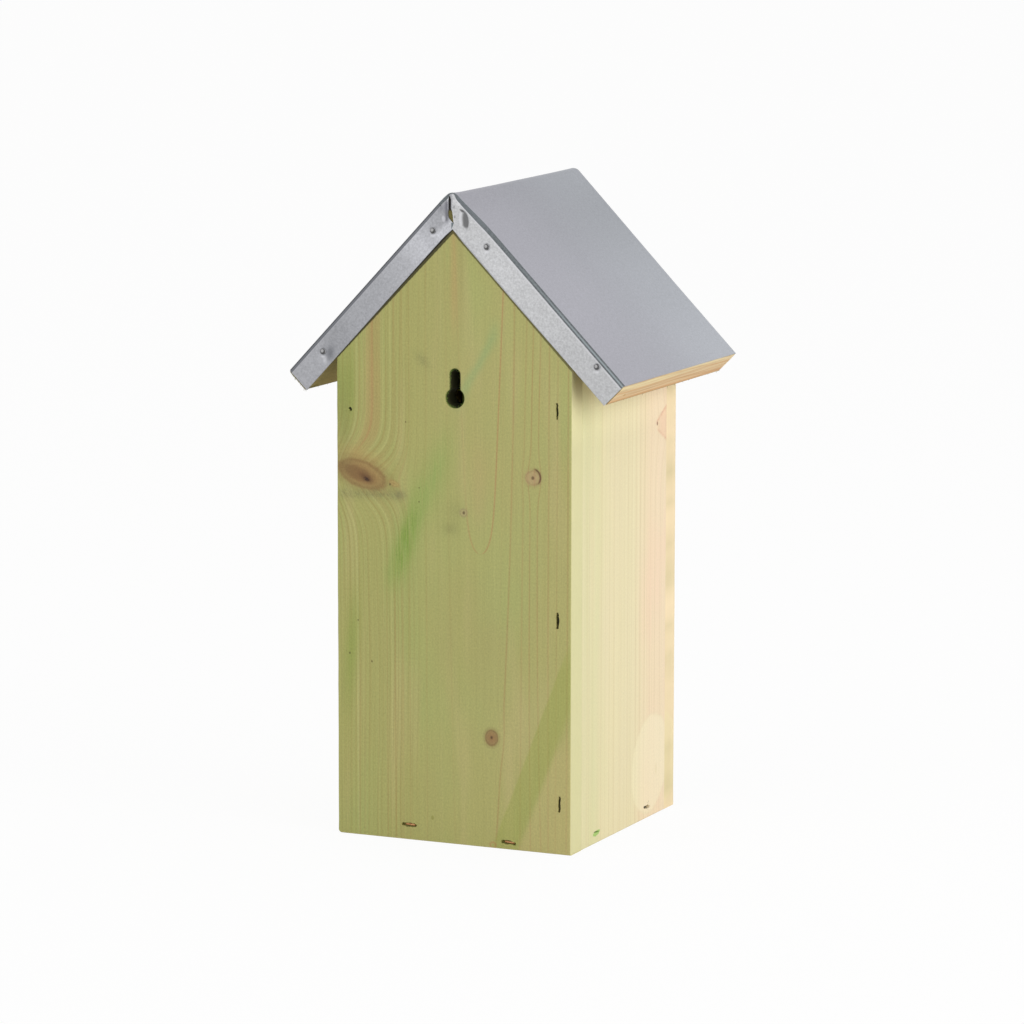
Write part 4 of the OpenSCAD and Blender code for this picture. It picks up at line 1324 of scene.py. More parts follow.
def end_panel(node, facing, material, holes, pits, foot, b, wave=None):
    """Front or back panel, +1 facing back. foot is the radius of the lower corner on the +X side."""
    wall, y_out = b.wall_height / MM, facing * HALF_D
    corners = [(-HALF_W, 0, 0), (HALF_W, 0, foot), (HALF_W, wall, 0), (0, GABLE_Z, 0), (-HALF_W, wall, 0)]
    loop = wavy(rounded_loop(corners), SAW_WAVE, y_out, wave)
    piece = plate(node + "_dressed", lambda x, z, d: (x, y_out - facing * d, z), loop, holes, pits, WALL_T,
                  b.edge_ease / MM, b.joint_ease / MM)
    dress(piece, material, "panel_wood", node)


class OBJECT_OT_butterfly_back_panel(bpy.types.Operator):
    """Back panel with its keyhole, staple scars and brad hole"""

    bl_idname = "object.butterfly_back_panel"
    bl_label = "Back panel"
    bl_options = {"REGISTER", "UNDO"}

    def execute(self, context):
        scene = context.scene
        b = scene.butterfly_boards
        pits = [(scar_loop(c, d, BACK_SCAR_LENGTH, wide, seed), SCAR_DEPTH, SCAR_FLARE)
                for (c, d, seed), wide in zip(end_scars(1, (-1,)), BACK_SCAR_WIDTHS)]
        pits.append((scar_loop(BRAD, (0.5, 0.8), 1.9, 1.3, 5), 1.4, -0.05))
        rough_edge = lambda x, z: 1.0 if x > HALF_W - 1 and z > 2 else 0.25
        material = back_finish(scene.butterfly_finish)
        end_panel("back_panel", 1, material, [keyhole_loop(b)], pits, 1.7, b, rough_edge)
        return {"FINISHED"}


class OBJECT_OT_butterfly_front_panel(bpy.types.Operator):
    """Front panel with its three entrance slots and staple scars"""

    bl_idname = "object.butterfly_front_panel"
    bl_label = "Front panel"
    bl_options = {"REGISTER", "UNDO"}

    def execute(self, context):
        scene = context.scene
        b = scene.butterfly_boards
        holes = [slot_loop(i * b.slot_step / MM, b.slot_low / MM, b.slot_width / MM, b.slot_height / MM)
                 for i in (-1, 0, 1)]
        pits = []
        for centre, direction, seed in end_scars(-1, (-1, 1)):
            wide = FRONT_SCAR_WIDTHS["upright" if direction[1] > 0.5 else "level"]
            pits.append((scar_loop(centre, direction, FRONT_SCAR_LENGTH, wide, seed), SCAR_DEPTH, SCAR_FLARE))
        end_panel("front_panel", -1, front_finish(scene.butterfly_finish), holes, pits, 0, b)
        return {"FINISHED"}


class OBJECT_OT_butterfly_side_panels(bpy.types.Operator):
    """Side panels between the end panels, bevelled under the roof"""

    bl_idname = "object.butterfly_side_panels"
    bl_label = "Side panels"
    bl_options = {"REGISTER", "UNDO"}

    def execute(self, context):
        scene = context.scene
        b, r = scene.butterfly_boards, scene.butterfly_roof
        wall, reach, tan = b.wall_height / MM, HALF_D - WALL_T, math.tan(r.pitch)
        for side, name in ((-1, "left_side_panel"), (1, "right_side_panel")):
            loop = rounded_loop([(-reach, 0, 0), (reach, 0, 0), (reach, wall, 0), (-reach, wall, 0)])
            pits = []
            for i, y in enumerate(LEVEL_SIDES):
                scar = scar_loop((y, SIDE_STAPLE_Z), (1, 0.1), 7.4 - 1.4 * i, 1.5 - 1.0 * i, 61 + i + side)
                pits.append((scar, SCAR_DEPTH, SCAR_FLARE))
            joint = b.joint_ease / MM
            ease = lambda y, z: joint if 1 < z < wall - 1 else b.edge_ease / MM
            place = lambda y, z, d, side=side: (side * (HALF_W - d), y, z + d * tan * z / wall)
            piece = plate(name + "_dressed", place, loop, (), pits, WALL_T, ease, joint)
            dress(piece, side_finish(scene.butterfly_finish, side), "side_wood", name)
        return {"FINISHED"}


class OBJECT_OT_butterfly_floor_panel(bpy.types.Operator):
    """Floor panel between the walls"""

    bl_idname = "object.butterfly_floor_panel"
    bl_label = "Floor panel"
    bl_options = {"REGISTER", "UNDO"}

    def execute(self, context):
        scene = context.scene
        low, high = (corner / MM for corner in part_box("floor_panel"))
        corners = [(low.x, low.y, 0), (high.x, low.y, 0), (high.x, high.y, 0), (low.x, high.y, 0)]
        piece = plate("floor_panel_dressed", lambda x, y, d: (x, y, low.z + d), rounded_loop(corners), (), (),
                      high.z - low.z, FLOOR_EASE, FLOOR_EASE)
        dress(piece, floor_panel_finish(scene.butterfly_finish), "panel_wood", "floor_panel")
        return {"FINISHED"}


def smooth(share):
    """Eases a number between 0 and 1 in and out."""
    share = min(max(share, 0.0), 1.0)
    return share * share * (3 - 2 * share)


def sheet_length(r, side=-1):
    """Length of the sheet's outer face from the ridge line to the eave."""
    return (r.slope + r.sheet * math.tan(r.pitch) - r.reveal - (r.short if side > 0 else 0)) / MM


def roof_point(r, side, reach, n):
    """Point (x, z) of a true roof, reach down the slope and n below its face, with an arc over the ridge."""
    fold = r.fold / MM
    edge = fold * math.tan(r.pitch)
    if reach >= edge or n >= fold:
        return on_plane(SHEET_Z, side, reach, n, r)
    turn = r.pitch * reach / edge
    middle = SHEET_Z - fold / math.cos(r.pitch)
    return side * (fold - n) * math.sin(turn), middle + (fold - n) * math.cos(turn)


def settle(x, y, z, r, pinched=True):
    """Where a point of a true roof lies on the real one. Its ridge sags towards the back, its +X slope is a
    little steeper with a slimmer flange, and its front verge runs askew."""
    c, k = math.cos(r.pitch), math.sin(r.pitch)
    s, n = abs(x) * c + (SHEET_Z - z) * k, (SHEET_Z - z) * c - abs(x) * k
    away = min(max((ROOF_BACK_Y - y) / (ROOF_BACK_Y - ROOF_FRONT_Y), 0.0), 1.0)
    shallow = 1 - min(max(n * MM / r.flange, 0.0), 1.0)
    turn = smooth((x + 1.0) / RIDGE_TURN)
    out = turn * (math.tan(r.lean) * (PIVOT * sheet_length(r) - s) - r.slim / MM * shallow)
    stretch = turn * r.stretch / MM * s / sheet_length(r)
    spread = SAG_SPREAD[0] if x < 0 else SAG_SPREAD[1]
    sag = r.sag / MM * (1 - away ** 1.5) * shallow * math.exp(-((x / c / spread) ** 2))
    peak = r.peak / MM * math.exp(-((x / PEAK_WIDTH) ** 2)) * smooth((y - PEAK_START) / PEAK_LENGTH)
    peak = peak * shallow * pinched
    askew = r.askew / MM * (min(s / ASKEW_REACH, 1.0) - ASKEW_RIDGE) * away
    return x + out * k + stretch * c, y + askew, z + out * c - sag + peak - stretch * k


def unsettle(x, y, z, r):
    """The place (x, z) on a true roof at y, whose point lies at x and z on the real one."""
    a, b = x, z
    for _ in range(9):
        a_now, _, b_now = settle(a, y, b, r)
        a, b = a + x - a_now, b + z - b_now
    return a, b


class OBJECT_OT_butterfly_roof_boards(bpy.types.Operator):
    """Roof boards, the left one lapped over the right one at the ridge"""

    bl_idname = "object.butterfly_roof_boards"
    bl_label = "Roof boards"
    bl_options = {"REGISTER", "UNDO"}

    def execute(self, context):
        scene = context.scene
        r = scene.butterfly_roof
        slope, thick, bend = r.slope / MM, r.board / MM, (r.bend - r.sheet) / MM
        lap = thick / math.sin(2 * r.pitch)
        under = BOARD_Z - thick / math.cos(r.pitch)
        top = lambda x, z: (BOARD_Z - z) * math.cos(r.pitch) - abs(x) * math.sin(r.pitch)
        ease = lambda x, z: bend if top(x, z) < 0.3 else BOARD_EASE
        place = lambda x, z, d: settle(x, ROOF_BACK_Y - d, z, r, False)
        for side, name in ((-1, "left_roof_board"), (1, "right_roof_board")):
            eave, low = on_plane(BOARD_Z, side, slope, 0, r), on_plane(BOARD_Z, side, slope, thick, r)
            meet = on_plane(BOARD_Z, 1, lap, 0, r)
            if side < 0:
                corners = [(*meet, 0), (0, BOARD_Z, (r.fold - r.sheet) / MM), (*eave, 0), (*low, 0)]
            else:
                corners = [(0, under, 0), (*low, 0), (*eave, 0), (*meet, 0)]
            piece = plate(name + "_dressed", place, rounded_loop(corners, 4.0), (), (),
                          ROOF_BACK_Y - ROOF_FRONT_Y, ease, ease, 6.0, 0.0)
            dress(piece, roof_finish(scene.butterfly_finish, side), "roof_wood", name)
        return {"FINISHED"}


def sheet_stations(r):
    """Places across the roof from the -X eave over the ridge to the +X one: (side, distance down)."""
    edge = r.fold / MM * math.tan(r.pitch)
    top = [*np.linspace(0, edge, FOLD_ROWS), *np.linspace(edge, NEAR_RIDGE, NEAR_ROWS)[1:]]
    left, right = ([*top, *np.linspace(NEAR_RIDGE, sheet_length(r, side), SLOPE_ROWS)[1:]]
                   for side in (-1, 1))
    return [(-1, s) for s in reversed(left)] + [(1, s) for s in right[1:]]


def bend_size(r, facing, side, s):
    """Depth and breadth of a bend: sharp at the torn ridge, then rounder, and not alike on the two slopes."""
    size = (r.bend if facing > 0 else r.front_bend) / MM
    if facing < 0:
        return size, size
    if side > 0:
        rise = smooth(s / 6)
        return size * (0.3 + 0.86 * rise + 0.14 * smooth((s - 6) / 10)), size * (0.25 + 0.75 * rise)
    rise = smooth(s / 4.5)
    deep = 0.3 + 0.86 * rise - 0.18 * smooth((s - 18) / 12)
    return size * deep, size * (0.25 + 0.2 * rise + 1.05 * smooth((s - 2) / 26))


def sheet_section(r, side, s):
    """Section across the sheet: (y, depth, share of a bend), the share + at the back and - in front."""
    halves = []
    for facing, face_y in ((1, ROOF_BACK_Y), (-1, ROOF_FRONT_Y)):
        deep, broad = bend_size(r, facing, side, s)
        edge_y = face_y + facing * r.sheet / MM
        halves.append([(edge_y - facing * broad * (1 - math.sin(t)), deep * (1 - math.cos(t)),
                        facing * t / (math.pi / 2)) for t in np.linspace(math.pi / 2, 0, BEND_ROWS)])
    back, front = halves
    top = [(y, 0.0, 0.0) for y in np.linspace(back[-1][0], front[-1][0], GABLE_ROWS)[1:-1]]
    return back + top + front[::-1]


def flange_outline(r, facing):
    """Counter-clockwise outline (x, z) of one gable's flange, from its lower edge round to its bend."""
    depth = r.flange / MM
    face_y = ROOF_BACK_Y if facing > 0 else ROOF_FRONT_Y
    low = []
    for side in (-1, 1):
        for s in np.linspace(depth * math.tan(r.pitch), sheet_length(r, side), EDGE_CUTS)[::side]:
            cut = 0.06 + 0.06 * noise.noise(Vector((s * 0.4 * side, facing, 2.0)))
            lower = 0.4 * smooth((104 - s) / 50) if side < 0 else 0.0
            low.append((side, s, depth - cut + lower * smooth((s - 14) / 8)))
    del low[EDGE_CUTS]
    ends = {}
    for side in (-1, 1):
        eave = sheet_length(r, side)
        bend = bend_size(r, facing, side, eave)[0]
        ends[side] = [(side, eave, n) for n in np.linspace(depth, bend, BEND_ROWS)[1:-1]]
    verge = [(side, s, bend_size(r, facing, side, s)[0]) for side, s in reversed(sheet_stations(r))]
    loop = low + ends[1] + verge + ends[-1][::-1]
    return np.array([settle(x, face_y, z, r)[::2] for x, z in (roof_point(r, *p) for p in loop)])


def slit_outline():
    """Clockwise outline (x, z) of the tear below the ridge: a narrow slit over a belly that hooks to -X."""
    return rounded_loop([(*p, 0) for p in SLIT], 0.5)


def dent_shape(u, z):
    """The hollow beside the tear: its share inside the round wall and its share beyond its straight edge."""
    far = math.hypot((u - DENT[0]) / DENT[2], (z - DENT[1]) / DENT[3])
    return smooth((1.06 - far) / 0.2), smooth((u - 4.1) / 1.0)


def flange_push(x, z, depth, r, bend):
    """How far the flange lies behind its plane: dimples at the nails, folds, the hollow by the tear."""
    u = -x
    push = 0.1 + 0.07 * noise.noise(Vector((x * 0.05, z * 0.05, 7.0)))
    for side, s, n in NAIL_PLACES:
        at = on_plane(SHEET_Z, side, s, n, r)
        push += DIMPLE_DEPTH * math.exp(-((math.hypot(x - at[0], z - at[1]) / DIMPLE_REACH) ** 2))
    push -= 0.34 * math.exp(-((math.hypot(u - 2.6, z - 296.0) / 8.0) ** 2))
    wall, beyond = dent_shape(u, z)
    push += 0.6 * wall * beyond
    reach = smooth((z - 290.5) / 3) * smooth((304.0 - z) / 3)
    for middle, width, deep in FOLDS:
        push += deep * math.exp(-(((u - middle) / width) ** 2)) * reach
    return min(push, DEEPEST) * smooth((depth - bend) / 1.2)


class OBJECT_OT_butterfly_zinc_sheet(bpy.types.Operator):
    """Folded zinc sheet with its flanges, dents and the torn corners at the ridge"""

    bl_idname = "object.butterfly_zinc_sheet"
    bl_label = "Zinc sheet"
    bl_options = {"REGISTER", "UNDO"}

    def execute(self, context):
        r = context.scene.butterfly_roof
        verts, faces, marks = self.slopes(r)
        for facing in (1, -1):
            self.flange(r, facing, verts, faces, marks)
        sheet = mesh_piece("zinc_sheet_dressed", verts, faces, 5e-6, True, 60.0, marks)
        highest = max(sheet.data.polygons, key=lambda face: face.center.z)
        if highest.normal.z < 0:
            sheet.data.flip_normals()
        self.thicken(sheet, r.sheet)
        dress(sheet, zinc_finish(context.scene.butterfly_finish, r), "zinc", "zinc_roof_sheet")
        return {"FINISHED"}

    def slopes(self, r):
        """Both slopes and the bends along their gable edges, as one grid over the ridge."""
        stations, verts, faces, marks = sheet_stations(r), [], [], []
        sections = [sheet_section(r, side, s) for side, s in stations]
        for row in zip(*sections):
            for (side, s), (y, n, share) in zip(stations, row):
                x, z = roof_point(r, side, s, n)
                wave = 0.06 + 0.06 * noise.noise(Vector((s * 0.04 * side, y * 0.03, 3.0)))
                verts.append(settle(x, y, z - (wave if share == 0 else 0.0), r))
                marks.append((side * s, n, share))
        wide = len(stations)
        for start in range(0, len(verts) - wide, wide):
            faces.extend([a, a + 1, a + wide + 1, a + wide] for a in range(start, start + wide - 1))
        return verts, faces, marks

    def flange(self, r, facing, verts, faces, marks):
        """One gable's flange, filled between its lower edge, its bend and the tear."""
        face_y = ROOF_BACK_Y if facing > 0 else ROOF_FRONT_Y
        c, k = math.cos(r.pitch), math.sin(r.pitch)
        dense = [(-1.0, 296.0, 10.5, 0.5)]
        dense += [(*on_plane(SHEET_Z, side, s, n, r), 3.8, 0.55) for side, s, n in NAIL_PLACES]
        points, triangles = cap([flange_outline(r, facing), slit_outline()], 2.4, dense)
        base = len(verts)
        for x, z in points:
            a, b = unsettle(x, face_y, z, r)
            s, n = abs(a) * c + (SHEET_Z - b) * k, (SHEET_Z - b) * c - abs(a) * k
            bend = bend_size(r, facing, math.copysign(1, a), s)[0]
            y = settle(a, face_y, b, r)[1] + facing * (r.sheet / MM - flange_push(x, z, n, r, bend))
            verts.append((x, y, z))
            marks.append((math.copysign(s, a), n, facing))
        faces.extend([base + i for i in t] for t in triangles)

    def thicken(self, sheet, thickness):
        """Gives the outer face its thickness inward, as part of the mesh."""
        shell = sheet.modifiers.new("Thickness", "SOLIDIFY")
        shell.thickness = thickness
        shell.offset = -1.0
        graph = bpy.context.evaluated_depsgraph_get()
        mesh = bpy.data.meshes.new_from_object(sheet.evaluated_get(graph))
        sheet.modifiers.clear()
        sheet.data = mesh
        mesh.set_sharp_from_angle(angle=math.radians(60))


def staple_recipe():
    """Wire staples: the crown along a point's X, the legs down its -Z."""
    g = Recipe("Staples")
    width = g.ask("Width", "NodeSocketFloat", 0.0058)
    length = g.ask("Leg length", "NodeSocketFloat", 0.025)
    wide = g.ask("Wire width", "NodeSocketFloat", 0.0012)
    thick = g.ask("Wire thickness", "NodeSocketFloat", 0.001)
    material = g.ask("Material", "NodeSocketMaterial")
    index = Value(g, g.node("GeometryNodeInputIndex").outputs[0])
    right = g.math("GREATER_THAN", index, 1.5)
    crown = g.math("LESS_THAN", abs(index - 1.5), 1.0)
    x = (right - 0.5) * (width - thick)
    z = (crown - 1.0) * length - thick * 0.5
    bent = g.node("GeometryNodePoints", None, {"Count": 4, "Position": g.combine(x, 0.0, z)})
    path = g.node("GeometryNodePointsToCurves", None, {0: bent.outputs[0]})
    round_off = g.node("GeometryNodeFilletCurve", {"mode": "POLY"},
                       {"Curve": path.outputs[0], "Count": 4, "Radius": thick * 0.75})
    section = g.node("GeometryNodeCurvePrimitiveQuadrilateral", {"mode": "RECTANGLE"}, {0: wide, 1: thick})
    soft = g.node("GeometryNodeFilletCurve", {"mode": "POLY"},
                  {"Curve": section.outputs[0], "Count": 2, "Radius": thick * 0.22})
    wire = g.node("GeometryNodeCurveToMesh", None,
                  {"Curve": round_off.outputs[0], "Profile Curve": soft.outputs[0], "Fill Caps": True})
    g.end(g.spread(g.places, wire.outputs[0]), material)
    return g


def nail_recipe():
    """Nails with domed heads: the head up a point's Z, the shank down it."""
    g = Recipe("Flange nails")
    head = g.ask("Head diameter", "NodeSocketFloat", 0.003)
    rise = g.ask("Head height", "NodeSocketFloat", 0.0008)
    shank_d = g.ask("Shank diameter", "NodeSocketFloat", 0.0014)
    length = g.ask("Shank length", "NodeSocketFloat", 0.02)
    seed = g.ask("Seed", "NodeSocketInt", 3)
    material = g.ask("Material", "NodeSocketMaterial")
    base = 0.0005
    rim = {"Vertices": 20, "Side Segments": 1, "Fill Segments": 5, "Radius": head * 0.5, "Depth": base}
    disc = g.node("GeometryNodeMeshCylinder", {"fill_type": "TRIANGLE_FAN"}, rim)
    place = g.node("GeometryNodeInputPosition").outputs[0]
    split = g.node("ShaderNodeSeparateXYZ", None, {0: place})
    x, y, z = (Value(g, split.outputs[i]) for i in range(3))
    share = (x * x + y * y) / (head * head * 0.25)
    top = g.math("GREATER_THAN", z, 0.0)
    bumps = g.node("ShaderNodeTexNoise", {"noise_dimensions": "4D"},
                   {"Vector": place, "W": seed, "Scale": 900.0, "Detail": 1.0})
    hammered = (Value(g, bumps.outputs[0]) - 0.55) * rise * 0.25 * (1.0 - share)
    dome = top * ((1.0 - share) * rise * 0.9 + hammered)
    domed = g.node("GeometryNodeSetPosition", None,
                   {"Geometry": disc.outputs[0], "Offset": g.combine(0.0, 0.0, dome - base * 0.5)})
    shank = g.node("GeometryNodeMeshCylinder", {"fill_type": "NGON"},
                   {"Vertices": 12, "Radius": shank_d * 0.5, "Depth": length})
    down = g.combine(0.0, 0.0, length * -0.5 - base * 0.5)
    lowered = g.node("GeometryNodeTransform", None, {"Geometry": shank.outputs[0], "Translation": down})
    both = g.node("GeometryNodeJoinGeometry")
    for part in (lowered, domed):
        g.tree.links.new(part.outputs[0], both.inputs[0])
    smooth = g.node("GeometryNodeSetShadeSmooth", None, {"Geometry": g.spread(g.places, both.outputs[0])})
    g.end(smooth.outputs[0], material)
    return g


def fibre_recipe():
    """Torn fibres: thin tapered hairs up each point's Z, bent a little, each in its own way."""
    g = Recipe("Torn fibres")
    thick = g.ask("Thickness", "NodeSocketFloat", 0.00022)
    curl = g.ask("Curl", "NodeSocketFloat", 0.25)
    seed = g.ask("Seed", "NodeSocketInt", 7)
    material = g.ask("Material", "NodeSocketMaterial")
    line = g.node("GeometryNodeCurvePrimitiveLine", None, {"Start": (0, 0, 0), "End": (0, 0, 1)})
    cut = g.node("GeometryNodeResampleCurve", {"mode": "COUNT"}, {"Curve": line.outputs[0], "Count": 7})
    turn = g.node("FunctionNodeEulerToRotation", None, {0: g.named("turn")}).outputs[0]
    reach = Value(g, g.named("reach", "FLOAT"))
    on_points = g.node("GeometryNodeInstanceOnPoints", None,
                       {"Points": g.places, "Instance": cut.outputs[0], "Rotation": turn, "Scale": reach})
    real = g.node("GeometryNodeRealizeInstances", None, {0: on_points.outputs[0]})
    share = Value(g, g.node("GeometryNodeSplineParameter").outputs["Factor"])
    place = g.node("GeometryNodeInputPosition").outputs[0]
    wild = g.node("ShaderNodeTexNoise", {"noise_dimensions": "4D"},
                  {"Vector": place, "W": seed, "Scale": 420.0})
    away = g.node("ShaderNodeVectorMath", {"operation": "SUBTRACT"}, {0: wild.outputs[1], 1: (0.5, 0.5, 0.5)})
    bend = g.node("ShaderNodeVectorMath", {"operation": "SCALE"},
                  {0: away.outputs[0], "Scale": share * share * curl * 0.004})
    bent = g.node("GeometryNodeSetPosition", None, {"Geometry": real.outputs[0], "Offset": bend.outputs[0]})
    section = g.node("GeometryNodeCurvePrimitiveCircle", {"mode": "RADIUS"},
                     {"Resolution": 5, "Radius": thick})
    hair = g.node("GeometryNodeCurveToMesh", None,
                  {"Curve": bent.outputs[0], "Profile Curve": section.outputs[0],
                   "Scale": (1.05 - share) ** 0.6, "Fill Caps": True})
    g.end(hair.outputs[0], material)
    return g


class OBJECT_OT_butterfly_nails(bpy.types.Operator):
    """Domed nails through the zinc flanges"""

    bl_idname = "object.butterfly_nails"
    bl_label = "Flange nails"
    bl_options = {"REGISTER", "UNDO"}

    def execute(self, context):
        scene = context.scene
        f, r = scene.butterfly_fixings, scene.butterfly_roof
        finish = scene.butterfly_finish
        material = nail_finish(finish, r)
        places = []
        for facing, y in ((1, ROOF_BACK_Y), (-1, ROOF_FRONT_Y)):
            for side, s, n in NAIL_PLACES:
                x, z = on_plane(SHEET_Z, side, s, n, r)
                y_here = settle(x, y, z, r)[1] + facing * (r.sheet / MM - 0.1)
                places.append(((x, y_here, z), (1, 0, 0), (0, facing, 0)))
        values = {"Head diameter": f.head_diameter, "Head height": f.head_height, "Seed": f.seed,
                  "Shank diameter": f.nail_diameter, "Shank length": f.nail_length, "Material": material}
        piece = nail_recipe().make("flange_nails_dressed", points_carrier("nail places", places), values)
        dress(piece, material, "nail_steel", "flange_nails")
        return {"FINISHED"}


class OBJECT_OT_butterfly_staples(bpy.types.Operator):
    """Wire staples of the walls and of the roof boards"""

    bl_idname = "object.butterfly_staples"
    bl_label = "Staples"
    bl_options = {"REGISTER", "UNDO"}

    def execute(self, context):
        scene = context.scene
        f, r, finish = scene.butterfly_fixings, scene.butterfly_roof, scene.butterfly_finish
        # The upright staples and those farther out are painted near-black as shade in their slits.
        copper = metal_finish("coppered_wire_finish", finish.copper, srgb(128, 84, 50), 0.34, UPRIGHT_X - 3)
        sink = f.sink / MM
        groups = {"back_panel_staples": self.end_places(1, (-1,), sink),
                  "front_panel_staples": self.end_places(-1, (-1, 1), sink),
                  "side_panel_staples": [((side * (HALF_W - sink), y, SIDE_STAPLE_Z), (0, 1, 0), (side, 0, 0))
                                         for side in (-1, 1) for y in LEVEL_SIDES],
                  "roof_board_staples": self.roof_places(r)}
        recipe = staple_recipe()
        values = {"Width": f.staple_width, "Leg length": f.staple_length, "Wire width": f.wire_width,
                  "Wire thickness": f.wire_thickness, "Material": copper}
        for node, places in groups.items():
            piece = recipe.make(node + "_dressed", points_carrier(node + " places", places), values)
            dress(piece, copper, "coppered_wire", node)
        return {"FINISHED"}

    def end_places(self, facing, sides, sink):
        y = facing * (HALF_D - sink)
        places = [((side * (UPRIGHT_X + shift), y, z), (0, 0, 1), (0, facing, 0))
                  for side in sides for z, shift in zip(UPRIGHT_Z, UPRIGHT_SHIFT)]
        for x, z, tilt in LEVEL_ENDS:
            t = math.radians(tilt)
            places.append(((x, y, z), (math.cos(t), 0, math.sin(t)), (0, facing, 0)))
        return places

    def roof_places(self, r):
        places = []
        for side in (-1, 1):
            for s in ROOF_STAPLE_S:
                for y in (HALF_D - WALL_T / 2, -HALF_D + WALL_T / 2):
                    x, z = on_plane(BOARD_Z, side, s, 0, r)
                    down = (side * math.cos(r.pitch), 0, -math.sin(r.pitch))
                    up = (side * math.sin(r.pitch), 0, math.cos(r.pitch))
                    places.append((settle(x, y, z, r), down, up))
        return places


class OBJECT_OT_butterfly_brad(bpy.types.Operator):
    """Sunk brad in the back panel's edge"""

    bl_idname = "object.butterfly_brad"
    bl_label = "Edge brad"
    bl_options = {"REGISTER", "UNDO"}

    def execute(self, context):
        low, high = (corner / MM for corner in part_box("edge_brad"))
        x, z, radius = (low.x + high.x) / 2, (low.z + high.z) / 2, (high.x - low.x) / 2
        verts, faces, steps = [], [], 14
        length = high.y - low.y
        profile = ((0.25, 0.0), (0.8, 0.06), (1.0, 0.3), (1.0, length - 2.0), (0.35, length))
        for share, back in profile:
            for t in range(steps):
                angle = 2 * math.pi * t / steps
                a, b = radius * share * math.cos(angle), radius * share * math.sin(angle)
                verts.append((x + a, high.y - back, z + b))
        for i in range(len(profile) - 1):
            for t in range(steps):
                a, b = i * steps + t, i * steps + (t + 1) % steps
                faces.append([a, b, b + steps, a + steps])
        faces += [list(range(steps)), list(range(len(verts) - steps, len(verts)))]
        piece = mesh_piece("edge_brad_dressed", verts, faces)
        steel = metal_finish("brad_steel_finish", srgb(70, 68, 62), srgb(40, 38, 34), 0.5)
        dress(piece, steel, "nail_steel", "edge_brad")
        return {"FINISHED"}


